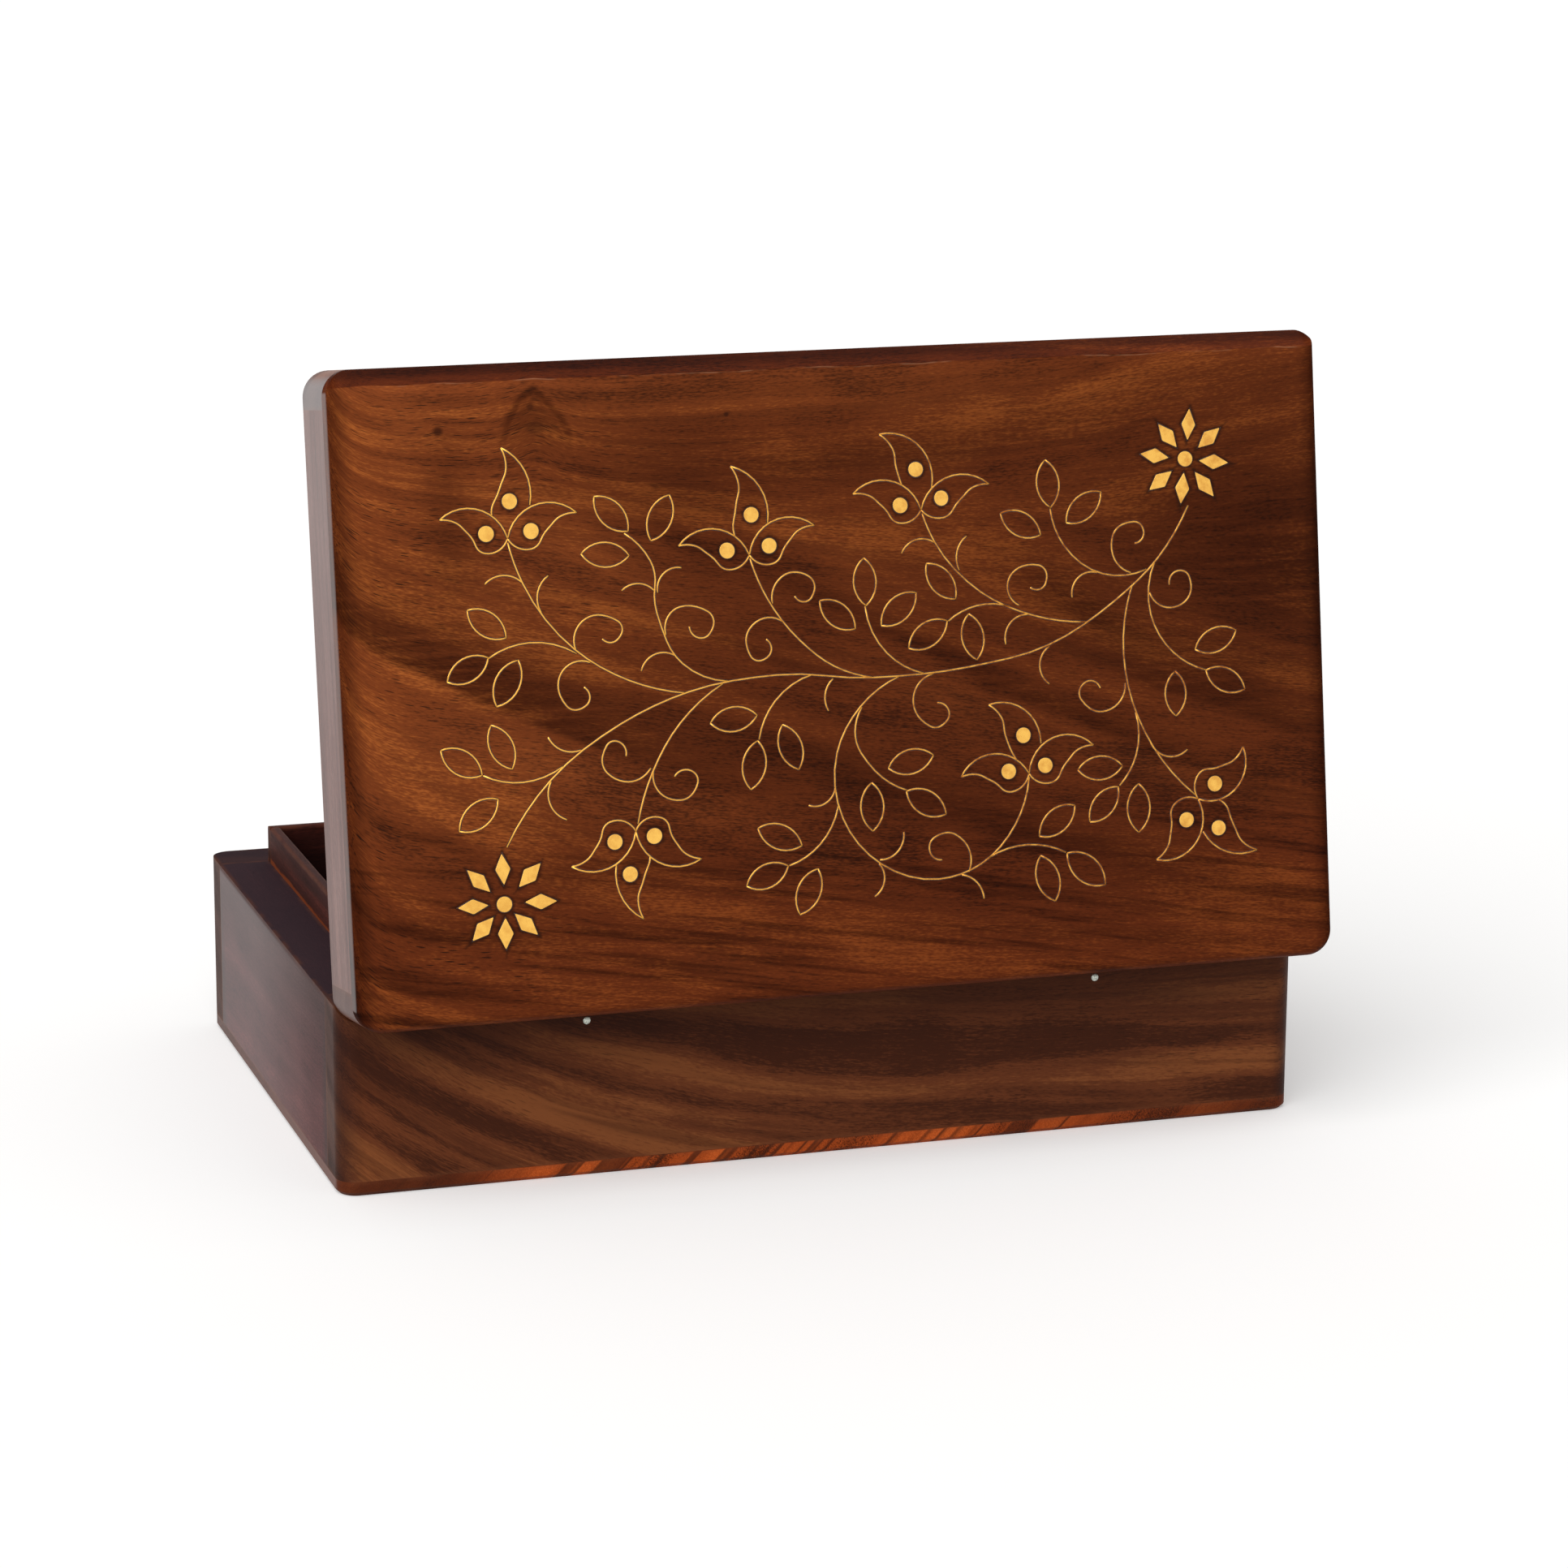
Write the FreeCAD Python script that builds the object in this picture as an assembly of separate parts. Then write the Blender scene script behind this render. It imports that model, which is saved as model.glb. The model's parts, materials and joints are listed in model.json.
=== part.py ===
"""Hinged wooden box with a brass inlaid lid.

The base is four boards on a bottom panel, with a thin liner whose rim stands up as a lip.
The lid is four rails under a panel, and the panel carries a flowering vine in brass.
All pieces are modelled with the lid closed, and the lid is then turned open onto its stop.
Lengths are in millimetres. X is the width, the hinges are at +Y, and Z = 0 is the underside.
"""
import FreeCAD, Part
import math
import os

# Overall sizes of the closed box
box_width = 203.2
box_depth = 127.0
base_height = 38.7
lid_height = 22.4
open_angle = 81.0

# Base boards
floor_thickness = 3.0
wall_thickness = 10.8
liner_thickness = 2.4
lip_height = 8.0
lip_rounding = 0.8
base_corner_radius = 4.2
bottom_edge_chamfer = 0.8

# Lid boards
rail_thickness = 7.5
panel_thickness = 5.0
lid_corner_radius = 5.2
lid_front_left_radius = 3.2
panel_edge_radius = 2.0
front_bevel_width = 3.3
front_bevel_drop = 3.8

# Hinges
hinge_spacing = 108.0
hinge_inset = 3.4
leaf_width = 20.0
leaf_reach = 11.0
leaf_thickness = 0.8
barrel_radius = 1.4
pin_radius = 0.6
middle_knuckle_length = 8.0

# Clearances
rim_gap = 0.2
pin_running_clearance = 0.05
knuckle_end_gap = 0.2
barrel_clearance = 0.4

# Brass inlay
wire_width = 0.48
wire_depth = 1.0
plate_depth = 1.2
inlay_proud = 0.06
dot_diameter = 3.1
dot_sides = 12
rosette_petal_width = 3.0
rosette_petal_length = 6.3
side_margin = 16.1
end_margin = 14.3

# How far a straight run of wire may stray from its curve
bend_tolerance = 0.2

# Leaf shape: half its breadth as a share of its length, and how far the wire's ends pass, in wire widths
leaf_fullness = 0.25
leaf_end_lap = 0.8

# Petal shape, as shares of its length: where the belly is fullest, where it has shrunk to the waist
# and by how much, and where the last stretch is hollow. A slimmer belly leaves a deeper hollow.
belly_place = 0.26
waist_place = 0.56
waist_share = 0.28
hollow_place = 0.78
usual_belly = 0.24
usual_hollow = 0.03
hollow_gain = 0.15

# How far a cutting shape runs past what it cuts, and the slack when edges are picked by place
overcut = 1.0
slack = 0.001

# The vine is drawn on a field this far from the panel's middle to its edges
drawn_half_width = 85.5
drawn_half_depth = 49.2

# Positions worked out from the sizes
half_width = box_width / 2
half_depth = box_depth / 2
hinge_y = half_depth - hinge_inset
hinge_z = base_height + rim_gap / 2
rim_z = base_height + rim_gap
lid_top = rim_z + lid_height
panel_bottom = lid_top - panel_thickness
stop_slope = math.tan(math.radians(open_angle / 2))
outer_knuckle_length = (leaf_width - middle_knuckle_length) / 2
sides = {"left": -1, "right": 1}
corners = {"front_left": (-half_width, -half_depth), "front_right": (half_width, -half_depth),
           "back_left": (-half_width, half_depth), "back_right": (half_width, half_depth)}
base_radii = dict.fromkeys(corners, base_corner_radius)
lid_radii = dict.fromkeys(corners, lid_corner_radius)
lid_radii["front_left"] = lid_front_left_radius
up = FreeCAD.Vector(0, 0, 1)
along_x = FreeCAD.Vector(1, 0, 0)

# Main stem of the vine, from the rosette near the hinges to the rosette near the front.
# In this drawing the first number grows towards -X and the second towards the front.
stem_points = [(-70.8, -29.3), (-61.5, -17.0), (-47.0, -7.0), (-33.0, -1.6), (-15.0, 0.6), (5.0, -1.1),
               (25.0, -0.2), (42.0, 3.2), (56.0, 10.9), (66.0, 19.3), (72.8, 29.4)]

# Branches, each from its flower or spray of leaves to where it joins the stem
branch_points = [
    [(-67.8, 29.2), (-65.2, 21.2), (-55.5, 8.0), (-45.0, 1.4), (-33.5, -1.8)],
    [(-44.6, 29.8), (-39.6, 24.3), (-38.7, 14.0), (-34.0, 4.0), (-25.0, 0.0)],
    [(-72.6, 7.3), (-64.5, 9.8), (-55.2, 7.2)],
    [(-19.4, 23.6), (-16.2, 15.6), (-10.0, 7.2), (-3.0, 1.6), (5.0, -1.1)],
    [(3.8, 13.0), (8.0, 3.5), (15.5, -0.9)],
    [(16.4, 30.6), (18.7, 25.0), (28.0, 14.5), (39.0, 9.2), (50.0, 7.3)],
    [(21.0, 9.1), (27.0, 11.8), (34.0, 11.3)],
    [(43.3, 30.2), (46.0, 22.7), (54.0, 16.7), (63.4, 17.1)],
    [(75.4, -3.8), (68.5, 0.2), (64.0, 8.0), (65.3, 18.7)],
    [(72.2, -28.8), (63.5, -18.5), (58.6, -6.0), (58.3, 7.0), (60.3, 14.3)],
    [(56.0, -25.9), (59.8, -20.0), (60.0, -11.4)],
    [(-74.8, -15.2), (-67.0, -17.0), (-58.8, -14.4)],
    [(-44.4, -26.6), (-41.0, -16.8), (-35.0, -7.6), (-26.0, -0.4)],
    [(-19.1, -11.8), (-15.5, -4.5), (-7.5, 0.3)],
    [(36.8, -22.9), (33.5, -32.2), (26.0, -39.5), (17.0, -41.9), (5.0, -38.0), (-2.5, -28.5), (-3.2, -15.5),
     (2.0, -6.7), (10.5, -1.1)],
    [(11.0, -23.8), (4.5, -19.5), (0.7, -11.5), (2.3, -6.8)],
    [(-14.0, -37.0), (-7.5, -33.3), (-3.4, -26.0)],
    [(44.0, -38.5), (36.0, -36.4), (27.6, -38.4)],
]

# Tendrils that roll up, each from the stem inwards
curl_points = [
    [(-55.3, 7.8), (-54.3, 12.8), (-49.8, 14.3), (-46.0, 10.5), (-48.4, 8.9), (-49.9, 9.7)],
    [(-52.5, 5.3), (-57.5, 4.6), (-58.8, -0.8), (-55.6, -3.7), (-52.9, -1.2), (-54.0, 0.6)],
    [(-37.1, 9.7), (-36.0, 13.9), (-31.8, 15.1), (-27.4, 11.0), (-29.8, 8.7), (-32.3, 11.1)],
    [(-15.2, 14.6), (-14.0, 18.9), (-10.8, 20.5), (-6.5, 16.7), (-8.4, 14.6), (-10.6, 15.8)],
    [(-13.2, 10.9), (-17.9, 11.6), (-20.9, 7.2), (-18.1, 3.6), (-15.8, 6.0), (-16.8, 7.7)],
    [(36.0, 11.4), (33.7, 15.5), (37.0, 19.1), (42.1, 17.0), (40.7, 14.4), (38.5, 14.8)],
    [(60.0, 16.6), (56.3, 20.3), (58.6, 26.3), (62.8, 25.6), (62.9, 23.6), (61.0, 22.4)],
    [(63.9, 12.4), (67.5, 9.2), (72.9, 13.4), (71.4, 16.3), (69.0, 15.9), (68.2, 13.7)],
    [(-41.3, -15.9), (-46.8, -18.2), (-50.9, -13.0), (-48.2, -10.2), (-46.5, -11.3), (-46.2, -13.3)],
    [(-40.7, -16.0), (-38.2, -22.0), (-33.0, -21.4), (-32.3, -17.7), (-34.4, -16.7), (-36.6, -17.9)],
    [(17.4, -1.1), (13.2, -5.0), (14.5, -10.0), (18.5, -11.6), (20.4, -8.6), (18.0, -6.9)],
    [(23.3, -40.9), (22.6, -34.8), (18.6, -32.8), (15.2, -35.6), (15.9, -37.4), (17.8, -38.1)],
    [(58.0, -5.4), (55.6, -10.0), (50.2, -10.0), (48.4, -5.8), (50.6, -4.5), (52.6, -6.1)],
]

# Short hooks, each from the stem outwards
hook_points = [
    [(-65.3, 21.4), (-69.0, 23.0), (-72.7, 21.5)],
    [(-61.8, 15.4), (-62.3, 19.5), (-60.1, 22.5)],
    [(-39.0, 18.4), (-42.5, 20.0), (-45.6, 18.8)],
    [(-38.4, 18.0), (-37.2, 21.5), (-33.4, 22.6)],
    [(-35.4, 5.6), (-39.2, 6.2), (-42.4, 3.0)],
    [(18.8, 24.7), (15.5, 25.6), (11.8, 23.0)],
    [(23.7, 19.0), (23.4, 22.8), (25.5, 25.7)],
    [(52.8, 17.0), (49.0, 16.4), (47.3, 12.3)],
    [(37.8, 9.5), (34.2, 8.2), (32.9, 3.8)],
    [(42.1, 2.9), (39.9, -0.8), (41.8, -4.6)],
    [(-55.1, -11.5), (-58.7, -11.4), (-61.6, -8.6)],
    [(-61.4, -17.2), (-61.9, -21.3), (-58.6, -24.8)],
    [(-3.4, -0.8), (-5.2, -4.0), (-4.6, -7.1)],
    [(-3.8, -22.0), (-5.6, -25.0), (-9.5, -25.4)],
    [(4.8, -37.2), (8.7, -35.7), (10.0, -32.0)],
    [(4.6, -37.9), (5.6, -41.2), (3.4, -44.4)],
    [(21.8, -41.4), (25.0, -43.2), (26.3, -46.5)],
    [(62.9, -17.3), (66.4, -20.7), (70.9, -19.6)],
]

# Leaves, each as its foot and its tip
leaf_ends = [
    [(-43.8, 30.2), (-50.3, 37.2)], [(-39.3, 28.1), (-35.2, 36.8)], [(-43.8, 25.5), (-53.4, 26.3)],
    [(-69.0, 11.0), (-76.4, 16.7)], [(-72.7, 7.4), (-81.0, 3.2)], [(-66.8, 6.6), (-71.5, -2.1)],
    [(1.6, 8.7), (-5.5, 14.6)], [(4.0, 13.1), (3.9, 22.5)], [(7.0, 9.0), (14.5, 15.1)],
    [(22.7, 13.4), (16.9, 20.7)], [(20.8, 9.2), (12.5, 4.2)], [(25.3, 10.3), (26.7, 1.1)],
    [(41.1, 25.1), (32.8, 29.8)], [(43.4, 30.4), (42.6, 39.9)], [(46.6, 27.2), (54.2, 33.0)],
    [(73.3, 0.4), (82.3, 3.8)], [(75.5, -3.9), (83.8, -8.2)], [(68.8, -3.7), (68.7, -12.7)],
    [(-75.0, -15.1), (-82.9, -9.8)], [(-69.0, -14.3), (-72.8, -5.6)], [(-72.1, -19.9), (-80.0, -25.6)],
    [(-19.3, -7.0), (-28.9, -8.0)], [(-19.4, -12.0), (-21.2, -21.5)], [(-14.2, -9.2), (-11.2, -18.2)],
    [(7.3, -19.2), (16.8, -17.2)], [(10.9, -24.0), (19.0, -29.1)], [(3.7, -21.8), (3.6, -31.4)],
    [(-11.2, -33.2), (-20.1, -29.2)], [(-14.2, -37.0), (-22.9, -40.4)], [(-8.1, -38.0), (-12.2, -46.8)],
    [(56.8, -22.0), (47.2, -22.2)], [(55.7, -26.1), (49.4, -32.8)], [(60.1, -25.8), (59.8, -35.6)],
    [(38.5, -34.9), (46.3, -29.2)], [(44.3, -38.7), (52.2, -45.6)], [(38.6, -38.8), (41.4, -48.1)],
]

# Flowers: the foot, then each petal's tip with how far its two sides bow out, as shares of its
# length. The sign of the first share says which side is the plain one. The last petal of each
# flower lies behind the two others. Then come the three dots.
flowers = [
    {"foot": (-67.8, 30.0), "tips": [(-81.0, 34.2), (-53.9, 34.3), (-68.3, 47.4)],
     "bows": [(-0.28, 0.28), (0.29, 0.24), (-0.30, 0.16)],
     "dots": [(-72.0, 31.1), (-63.1, 31.2), (-67.1, 37.1)]},
    {"foot": (-19.5, 24.3), "tips": [(-33.8, 26.8), (-6.0, 29.4), (-22.6, 41.7)],
     "bows": [(-0.29, 0.23), (0.29, 0.24), (-0.32, 0.12)],
     "dots": [(-24.0, 25.4), (-15.4, 25.9), (-18.8, 32.1)]},
    {"foot": (16.2, 31.3), "tips": [(2.2, 35.1), (30.6, 35.7), (8.1, 46.5)],
     "bows": [(-0.29, 0.24), (0.28, 0.20), (-0.37, 0.06)],
     "dots": [(11.9, 32.4), (20.5, 33.4), (15.4, 39.3)]},
    {"foot": (36.8, -22.2), "tips": [(22.4, -22.0), (50.7, -17.4), (28.8, -8.0)],
     "bows": [(-0.30, 0.24), (0.32, 0.24), (-0.40, 0.05)],
     "dots": [(32.5, -21.5), (40.3, -20.8), (35.9, -14.5)]},
    {"foot": (72.9, -29.8), "tips": [(83.0, -19.8), (63.4, -41.4), (85.3, -40.9)],
     "bows": [(-0.33, 0.24), (0.33, 0.24), (-0.30, 0.17)],
     "dots": [(76.6, -26.9), (70.2, -33.8), (77.1, -35.9)]},
    {"foot": (-44.9, -28.0), "tips": [(-58.1, -34.0), (-31.9, -34.3), (-44.1, -45.2)],
     "bows": [(0.27, 0.28), (-0.27, 0.30), (-0.28, 0.14)],
     "dots": [(-49.2, -29.8), (-41.2, -29.2), (-46.4, -36.3)]},
]

# Rosettes: the middle, how far the ring is turned in degrees, and how far out each petal was set
rosettes = {
    "rear": {"middle": (-71.8, -40.3), "turn": 0.0, "spread": [7.3, 7.5, 6.8, 6.9, 6.2, 6.3, 5.7, 5.9]},
    "front": {"middle": (72.5, 38.7), "turn": -8.0, "spread": [6.2, 6.6, 6.9, 6.0, 6.6, 6.8, 5.9, 6.6]},
}


# Boards

def box_between(low, high):
    """A box from its lowest to its highest corner."""
    size = [top - bottom for bottom, top in zip(low, high)]
    return Part.makeBox(*size, FreeCAD.Vector(*low))


def plan_block(radii, bottom, top):
    """A block with the box's plan, its upright corners rounded, each by its own radius."""
    block = box_between((-half_width, -half_depth, bottom), (half_width, half_depth, top))
    for name, (x, y) in corners.items():
        upright = [edge for edge in block.Edges
                   if abs(edge.CenterOfMass.x - x) < slack and abs(edge.CenterOfMass.y - y) < slack]
        block = block.makeFillet(radii[name], upright)
    return block


def frame_boards(block, thickness):
    """Cut the four boards of a frame from a block, the front and back ones running full width."""
    low = block.BoundBox.ZMin
    high = block.BoundBox.ZMax
    inner_x = half_width - thickness
    inner_y = half_depth - thickness
    zones = {
        "front": ((-half_width, -half_depth, low), (half_width, -inner_y, high)),
        "back": ((-half_width, inner_y, low), (half_width, half_depth, high)),
        "left": ((-half_width, -inner_y, low), (-inner_x, inner_y, high)),
        "right": ((inner_x, -inner_y, low), (half_width, inner_y, high)),
    }
    return {name: block.common(box_between(*corners)) for name, corners in zones.items()}


def prism_along_x(outline, length):
    """A prism of the given length, centred on X = 0, from an outline of (y, z) points."""
    points = [FreeCAD.Vector(-length / 2, y, z) for y, z in outline]
    face = Part.Face(Part.makePolygon(points + points[:1]))
    return face.extrude(along_x * length)


def stop_wedge(rim, rise):
    """The wedge planed off a rear rim so that the two rims meet flat when the lid is open."""
    reach = hinge_inset + overcut
    outline = [(hinge_y, rim), (hinge_y + reach, rim), (hinge_y + reach, rim + rise * reach * stop_slope)]
    return prism_along_x(outline, box_width + 2 * overcut)


# Hinges

def rod(x, radius, length):
    """A round bar along the hinge axis, starting at x."""
    return Part.makeCylinder(radius, length, FreeCAD.Vector(x, hinge_y, hinge_z), along_x)


def knuckle_spans(x):
    """Where each knuckle starts and how long it is: the two outer ones and the middle one."""
    start = x - leaf_width / 2
    middle = start + outer_knuckle_length
    outer = [(start, outer_knuckle_length), (middle + middle_knuckle_length, outer_knuckle_length)]
    inner = [(middle + knuckle_end_gap, middle_knuckle_length - 2 * knuckle_end_gap)]
    return outer, inner


def hinge_leaf(x, rise, own_spans, other_spans, bore_radius):
    """A flat leaf that runs up or down from the hinge axis, with its knuckles."""
    ends = sorted([hinge_z, hinge_z + rise * leaf_reach])
    leaf = box_between((x - leaf_width / 2, hinge_y - leaf_thickness / 2, ends[0]),
                       (x + leaf_width / 2, hinge_y + leaf_thickness / 2, ends[1]))
    for start, length in other_spans:
        clear = rod(start - knuckle_end_gap, barrel_radius + barrel_clearance, length + 2 * knuckle_end_gap)
        leaf = leaf.cut(clear)
    for start, length in own_spans:
        leaf = leaf.fuse(rod(start, barrel_radius, length))
    return leaf.cut(rod(x - leaf_width, bore_radius, 2 * leaf_width)).removeSplitter()


def leaf_slot(x, rise):
    """The slot for a leaf, with the round groove that clears the barrel."""
    ends = sorted([hinge_z, hinge_z + rise * leaf_reach])
    slot = box_between((x - leaf_width / 2, hinge_y - leaf_thickness / 2, ends[0]),
                       (x + leaf_width / 2, hinge_y + leaf_thickness / 2, ends[1]))
    start = x - leaf_width / 2 - barrel_clearance
    return slot.fuse(rod(start, barrel_radius + barrel_clearance, leaf_width + 2 * barrel_clearance))


# Inlay drawing

def scaled(point):
    """A point of the drawing as a vector on the lid's face, with the drawing stretched to fit the panel."""
    across = (half_width - side_margin) / drawn_half_width
    along = (half_depth - end_margin) / drawn_half_depth
    return FreeCAD.Vector(-point[0] * across, -point[1] * along, 0)


def left_of(direction):
    """The direction a quarter turn to the left, seen from above."""
    return FreeCAD.Vector(-direction.y, direction.x, 0)


def unit(vector):
    """The vector at length one."""
    return vector / vector.Length


def mirrored(direction, chord):
    """The direction at the far end of the arc that starts in the given direction."""
    axis = unit(chord)
    return axis * (2 * direction.dot(axis)) - direction


def smooth_directions(points):
    """The direction of travel at each point of a smooth line through the points."""
    steps = [after - before for before, after in zip(points, points[1:])]
    inner = [unit(unit(a) * b.Length + unit(b) * a.Length) for a, b in zip(steps, steps[1:])]
    return [mirrored(inner[0], steps[0])] + inner + [mirrored(inner[-1], steps[-1])]


def arc_pair(start, start_direction, end, end_direction):
    """Two arcs that join smoothly and run from one point and direction to another."""
    chord = end - start
    both = start_direction + end_direction
    bend = 2 * (start_direction.dot(end_direction) - 1)
    reach = chord.dot(both)
    if abs(bend) < 1e-6:
        length = chord.dot(chord) / (2 * reach)
    else:
        length = (reach - math.sqrt(reach * reach - bend * chord.dot(chord))) / bend
    join = (start + start_direction * length + end - end_direction * length) / 2
    return [(start, start_direction, join), (join, mirrored(start_direction, join - start), end)]


def offset_arc(start, direction, end, offset):
    """The edge that runs beside an arc, a given distance to its left."""
    chord = end - start
    side = left_of(unit(chord))
    lean = math.atan2(direction.dot(side), direction.dot(unit(chord)))
    bulge = side * (chord.Length / 2 * math.tan(lean / 2))
    first = start + left_of(direction) * offset
    middle = (start + end) / 2 + bulge + side * offset
    last = end + left_of(mirrored(direction, chord)) * offset
    return Part.Arc(first, middle, last).toShape()


def runs_in(start, direction, end):
    """How many straight runs follow an arc within the tolerance."""
    chord = end - start
    height = chord.Length / 2 * math.tan(direction.getAngle(chord) / 2)
    return max(1, math.ceil(math.sqrt(height / bend_tolerance)))


def edge_points(arcs, offset):
    """The corners of the straight runs beside a chain of arcs, a given distance to its left."""
    points = []
    for arc in arcs:
        corners = offset_arc(*arc, offset).discretize(runs_in(*arc) + 1)
        points += corners[1:] if points else corners
    return points


def polygon(points):
    """The flat face with the given corners."""
    return Part.Face(Part.makePolygon(points + points[:1]))


def strip(arcs):
    """A flat strip of the wire's width along a chain of arcs."""
    return polygon(edge_points(arcs, wire_width / 2) + edge_points(arcs, -wire_width / 2)[::-1])


def arcs_through(points):
    """A smooth chain of arcs through points on the face."""
    directions = smooth_directions(points)
    arcs = []
    for index in range(len(points) - 1):
        arcs += arc_pair(points[index], directions[index], points[index + 1], directions[index + 1])
    return arcs


def vine_strip(drawn):
    """A strip of wire along a smooth line through drawn points."""
    return strip(arcs_through([scaled(point) for point in drawn]))


def bowed_arc(start, end, height):
    """The arc from start to end that bows out to the left by the given height."""
    along = unit(end - start)
    lean = 2 * math.atan2(2 * height, (end - start).Length)
    return start, along * math.cos(lean) + left_of(along) * math.sin(lean), end


def almond(foot, tip, half_breadth):
    """A face between two equal arcs from foot to tip."""
    there = edge_points([bowed_arc(foot, tip, half_breadth)], 0)
    back = edge_points([bowed_arc(tip, foot, half_breadth)], 0)
    return polygon(there[:-1] + back[:-1])


def leaf_ring(ends):
    """A leaf bent from one length of wire."""
    foot, tip = [scaled(point) for point in ends]
    lap = unit(tip - foot) * wire_width * leaf_end_lap
    half_breadth = leaf_fullness * (tip - foot).Length
    outer = almond(foot - lap, tip + lap, half_breadth + wire_width / 2)
    return outer.cut(almond(foot + lap, tip - lap, half_breadth - wire_width / 2)).Faces[0]


def petal_sides(foot, tip, bows):
    """The arcs of a petal's two sides: a plain one, and one that bellies out and turns to the tip."""
    start = scaled(foot)
    end = scaled(tip)
    along = end - start
    plain, belly = bows
    side = left_of(along) * math.copysign(1, plain)

    def place(share, height):
        return start + along * share + side * height

    hollow = usual_hollow + (usual_belly - belly) * hollow_gain
    belly_points = [start, place(belly_place, -belly), place(waist_place, -belly * waist_share),
                    place(hollow_place, hollow), end]
    return [bowed_arc(start, end, plain * along.Length)], arcs_through(belly_points)


def petal_area(plain_side, belly_side):
    """The face that a petal's two sides enclose."""
    there = edge_points(plain_side, 0)
    back = edge_points(belly_side, 0)[::-1]
    return polygon(there[:-1] + back[:-1])


def dot(point):
    """A punched brass dot."""
    turns = [2 * math.pi * index / dot_sides for index in range(dot_sides)]
    rim = [FreeCAD.Vector(math.cos(turn), math.sin(turn), 0) * (dot_diameter / 2) for turn in turns]
    return polygon([scaled(point) + place for place in rim])


def rosette_petals(rosette):
    """The ring of lozenges of a rosette, each pointing outwards."""
    petals = []
    for index, distance in enumerate(rosette["spread"]):
        angle = math.radians(180 + rosette["turn"]) + 2 * math.pi * index / len(rosette["spread"])
        outwards = FreeCAD.Vector(math.cos(angle), math.sin(angle), 0)
        waist = scaled(rosette["middle"]) + outwards * distance
        long_way = outwards * rosette_petal_length / 2
        short_way = left_of(outwards) * rosette_petal_width / 2
        corners = [waist - long_way, waist - short_way, waist + long_way, waist + short_way]
        petals.append(polygon(corners))
    return petals


def trimmed(piece, cutters):
    """The largest part of a flat piece that the cutters leave."""
    near = [cutter for cutter in cutters if cutter.BoundBox.intersect(piece.BoundBox)]
    if not near:
        return piece
    return max(piece.cut(near).Faces, key=lambda face: face.Area)


def lay(strips, laid):
    """Lay strips one by one, each trimmed to what is already laid where they meet."""
    done = []
    for piece in strips:
        done.append(trimmed(piece, laid + done))
    return done


def lay_flower(flower, laid):
    """Lay the petals of a flower. The last petal is behind the others, so their areas hide part of it."""
    petals = [petal_sides(flower["foot"], tip, bows) for tip, bows in zip(flower["tips"], flower["bows"])]
    strips = [[strip(side) for side in petal] for petal in petals]
    areas = [petal_area(*petal) for petal in petals[:-1]]
    strips[-1] = [trimmed(piece, areas) for piece in strips[-1]]
    return lay([piece for pair in strips for piece in pair], laid)


def sunk(faces, depth):
    """Flat faces given a depth, so that they stand a little proud of the lid's face."""
    solids = [face.extrude(up * (depth + inlay_proud)) for face in faces]
    shape = Part.makeCompound(solids)
    shape.translate(up * (lid_top - depth))
    return shape


def wire_pieces():
    """The brass wires, by name. Each is hammered into a knife cut, which takes no wood away."""
    stem = [vine_strip(stem_points)]
    branches = lay([vine_strip(points) for points in branch_points], stem)
    vine = stem + branches
    petals = []
    for flower in flowers:
        petals += lay_flower(flower, vine)
    tendrils = lay([vine_strip(points) for points in curl_points + hook_points], vine)
    leaves = lay([leaf_ring(ends) for ends in leaf_ends], vine)
    return {
        "inlay_stem_wire": sunk(stem, wire_depth),
        "inlay_branch_wires": sunk(branches, wire_depth),
        "inlay_petal_wires": sunk(petals, wire_depth),
        "inlay_tendril_wires": sunk(tendrils, wire_depth),
        "inlay_leaf_wires": sunk(leaves, wire_depth),
    }


def plate_pieces():
    """The brass dots and lozenges, by name. Each sits in a socket cut in the panel."""
    dots = [dot(point) for flower in flowers for point in flower["dots"]]
    pieces = {"inlay_flower_dots": sunk(dots, plate_depth)}
    for name, rosette in rosettes.items():
        pieces["inlay_" + name + "_rosette_petals"] = sunk(rosette_petals(rosette), plate_depth)
        pieces["inlay_" + name + "_rosette_centre"] = sunk([dot(rosette["middle"])], plate_depth)
    return pieces


# Assemblies

def base_pieces():
    """The bottom panel, the four walls and the liner."""
    panel = plan_block(base_radii, 0, floor_thickness)
    lower_edges = [edge for edge in panel.Edges if edge.BoundBox.ZMax < floor_thickness / 2]
    pieces = {"bottom_panel": panel.makeChamfer(bottom_edge_chamfer, lower_edges)}
    walls = frame_boards(plan_block(base_radii, floor_thickness, base_height), wall_thickness)
    for name, board in walls.items():
        pieces["base_" + name + "_wall"] = board
    outer_x = half_width - wall_thickness
    outer_y = half_depth - wall_thickness
    top = base_height + lip_height
    across = {"front": -1, "back": 1}
    for name, side in across.items():
        ends = sorted([side * outer_y, side * (outer_y - liner_thickness)])
        pieces["liner_" + name] = box_between((-outer_x, ends[0], floor_thickness), (outer_x, ends[1], top))
    for name, side in sides.items():
        ends = sorted([side * outer_x, side * (outer_x - liner_thickness)])
        inner_y = outer_y - liner_thickness
        pieces["liner_" + name] = box_between((ends[0], -inner_y, floor_thickness), (ends[1], inner_y, top))
    for name in list(pieces):
        if name.startswith("liner_"):
            pieces[name] = rounded_lip(pieces[name])
    return pieces


def rounded_lip(board):
    """A liner board with the long edges of its lip rounded over."""
    size = board.BoundBox
    length = max(size.XLength, size.YLength)
    lip_edges = [edge for edge in board.Edges if edge.BoundBox.ZMin > size.ZMax - slack
                 and abs(edge.Length - length) < slack]
    return board.makeFillet(lip_rounding, lip_edges)


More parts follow.
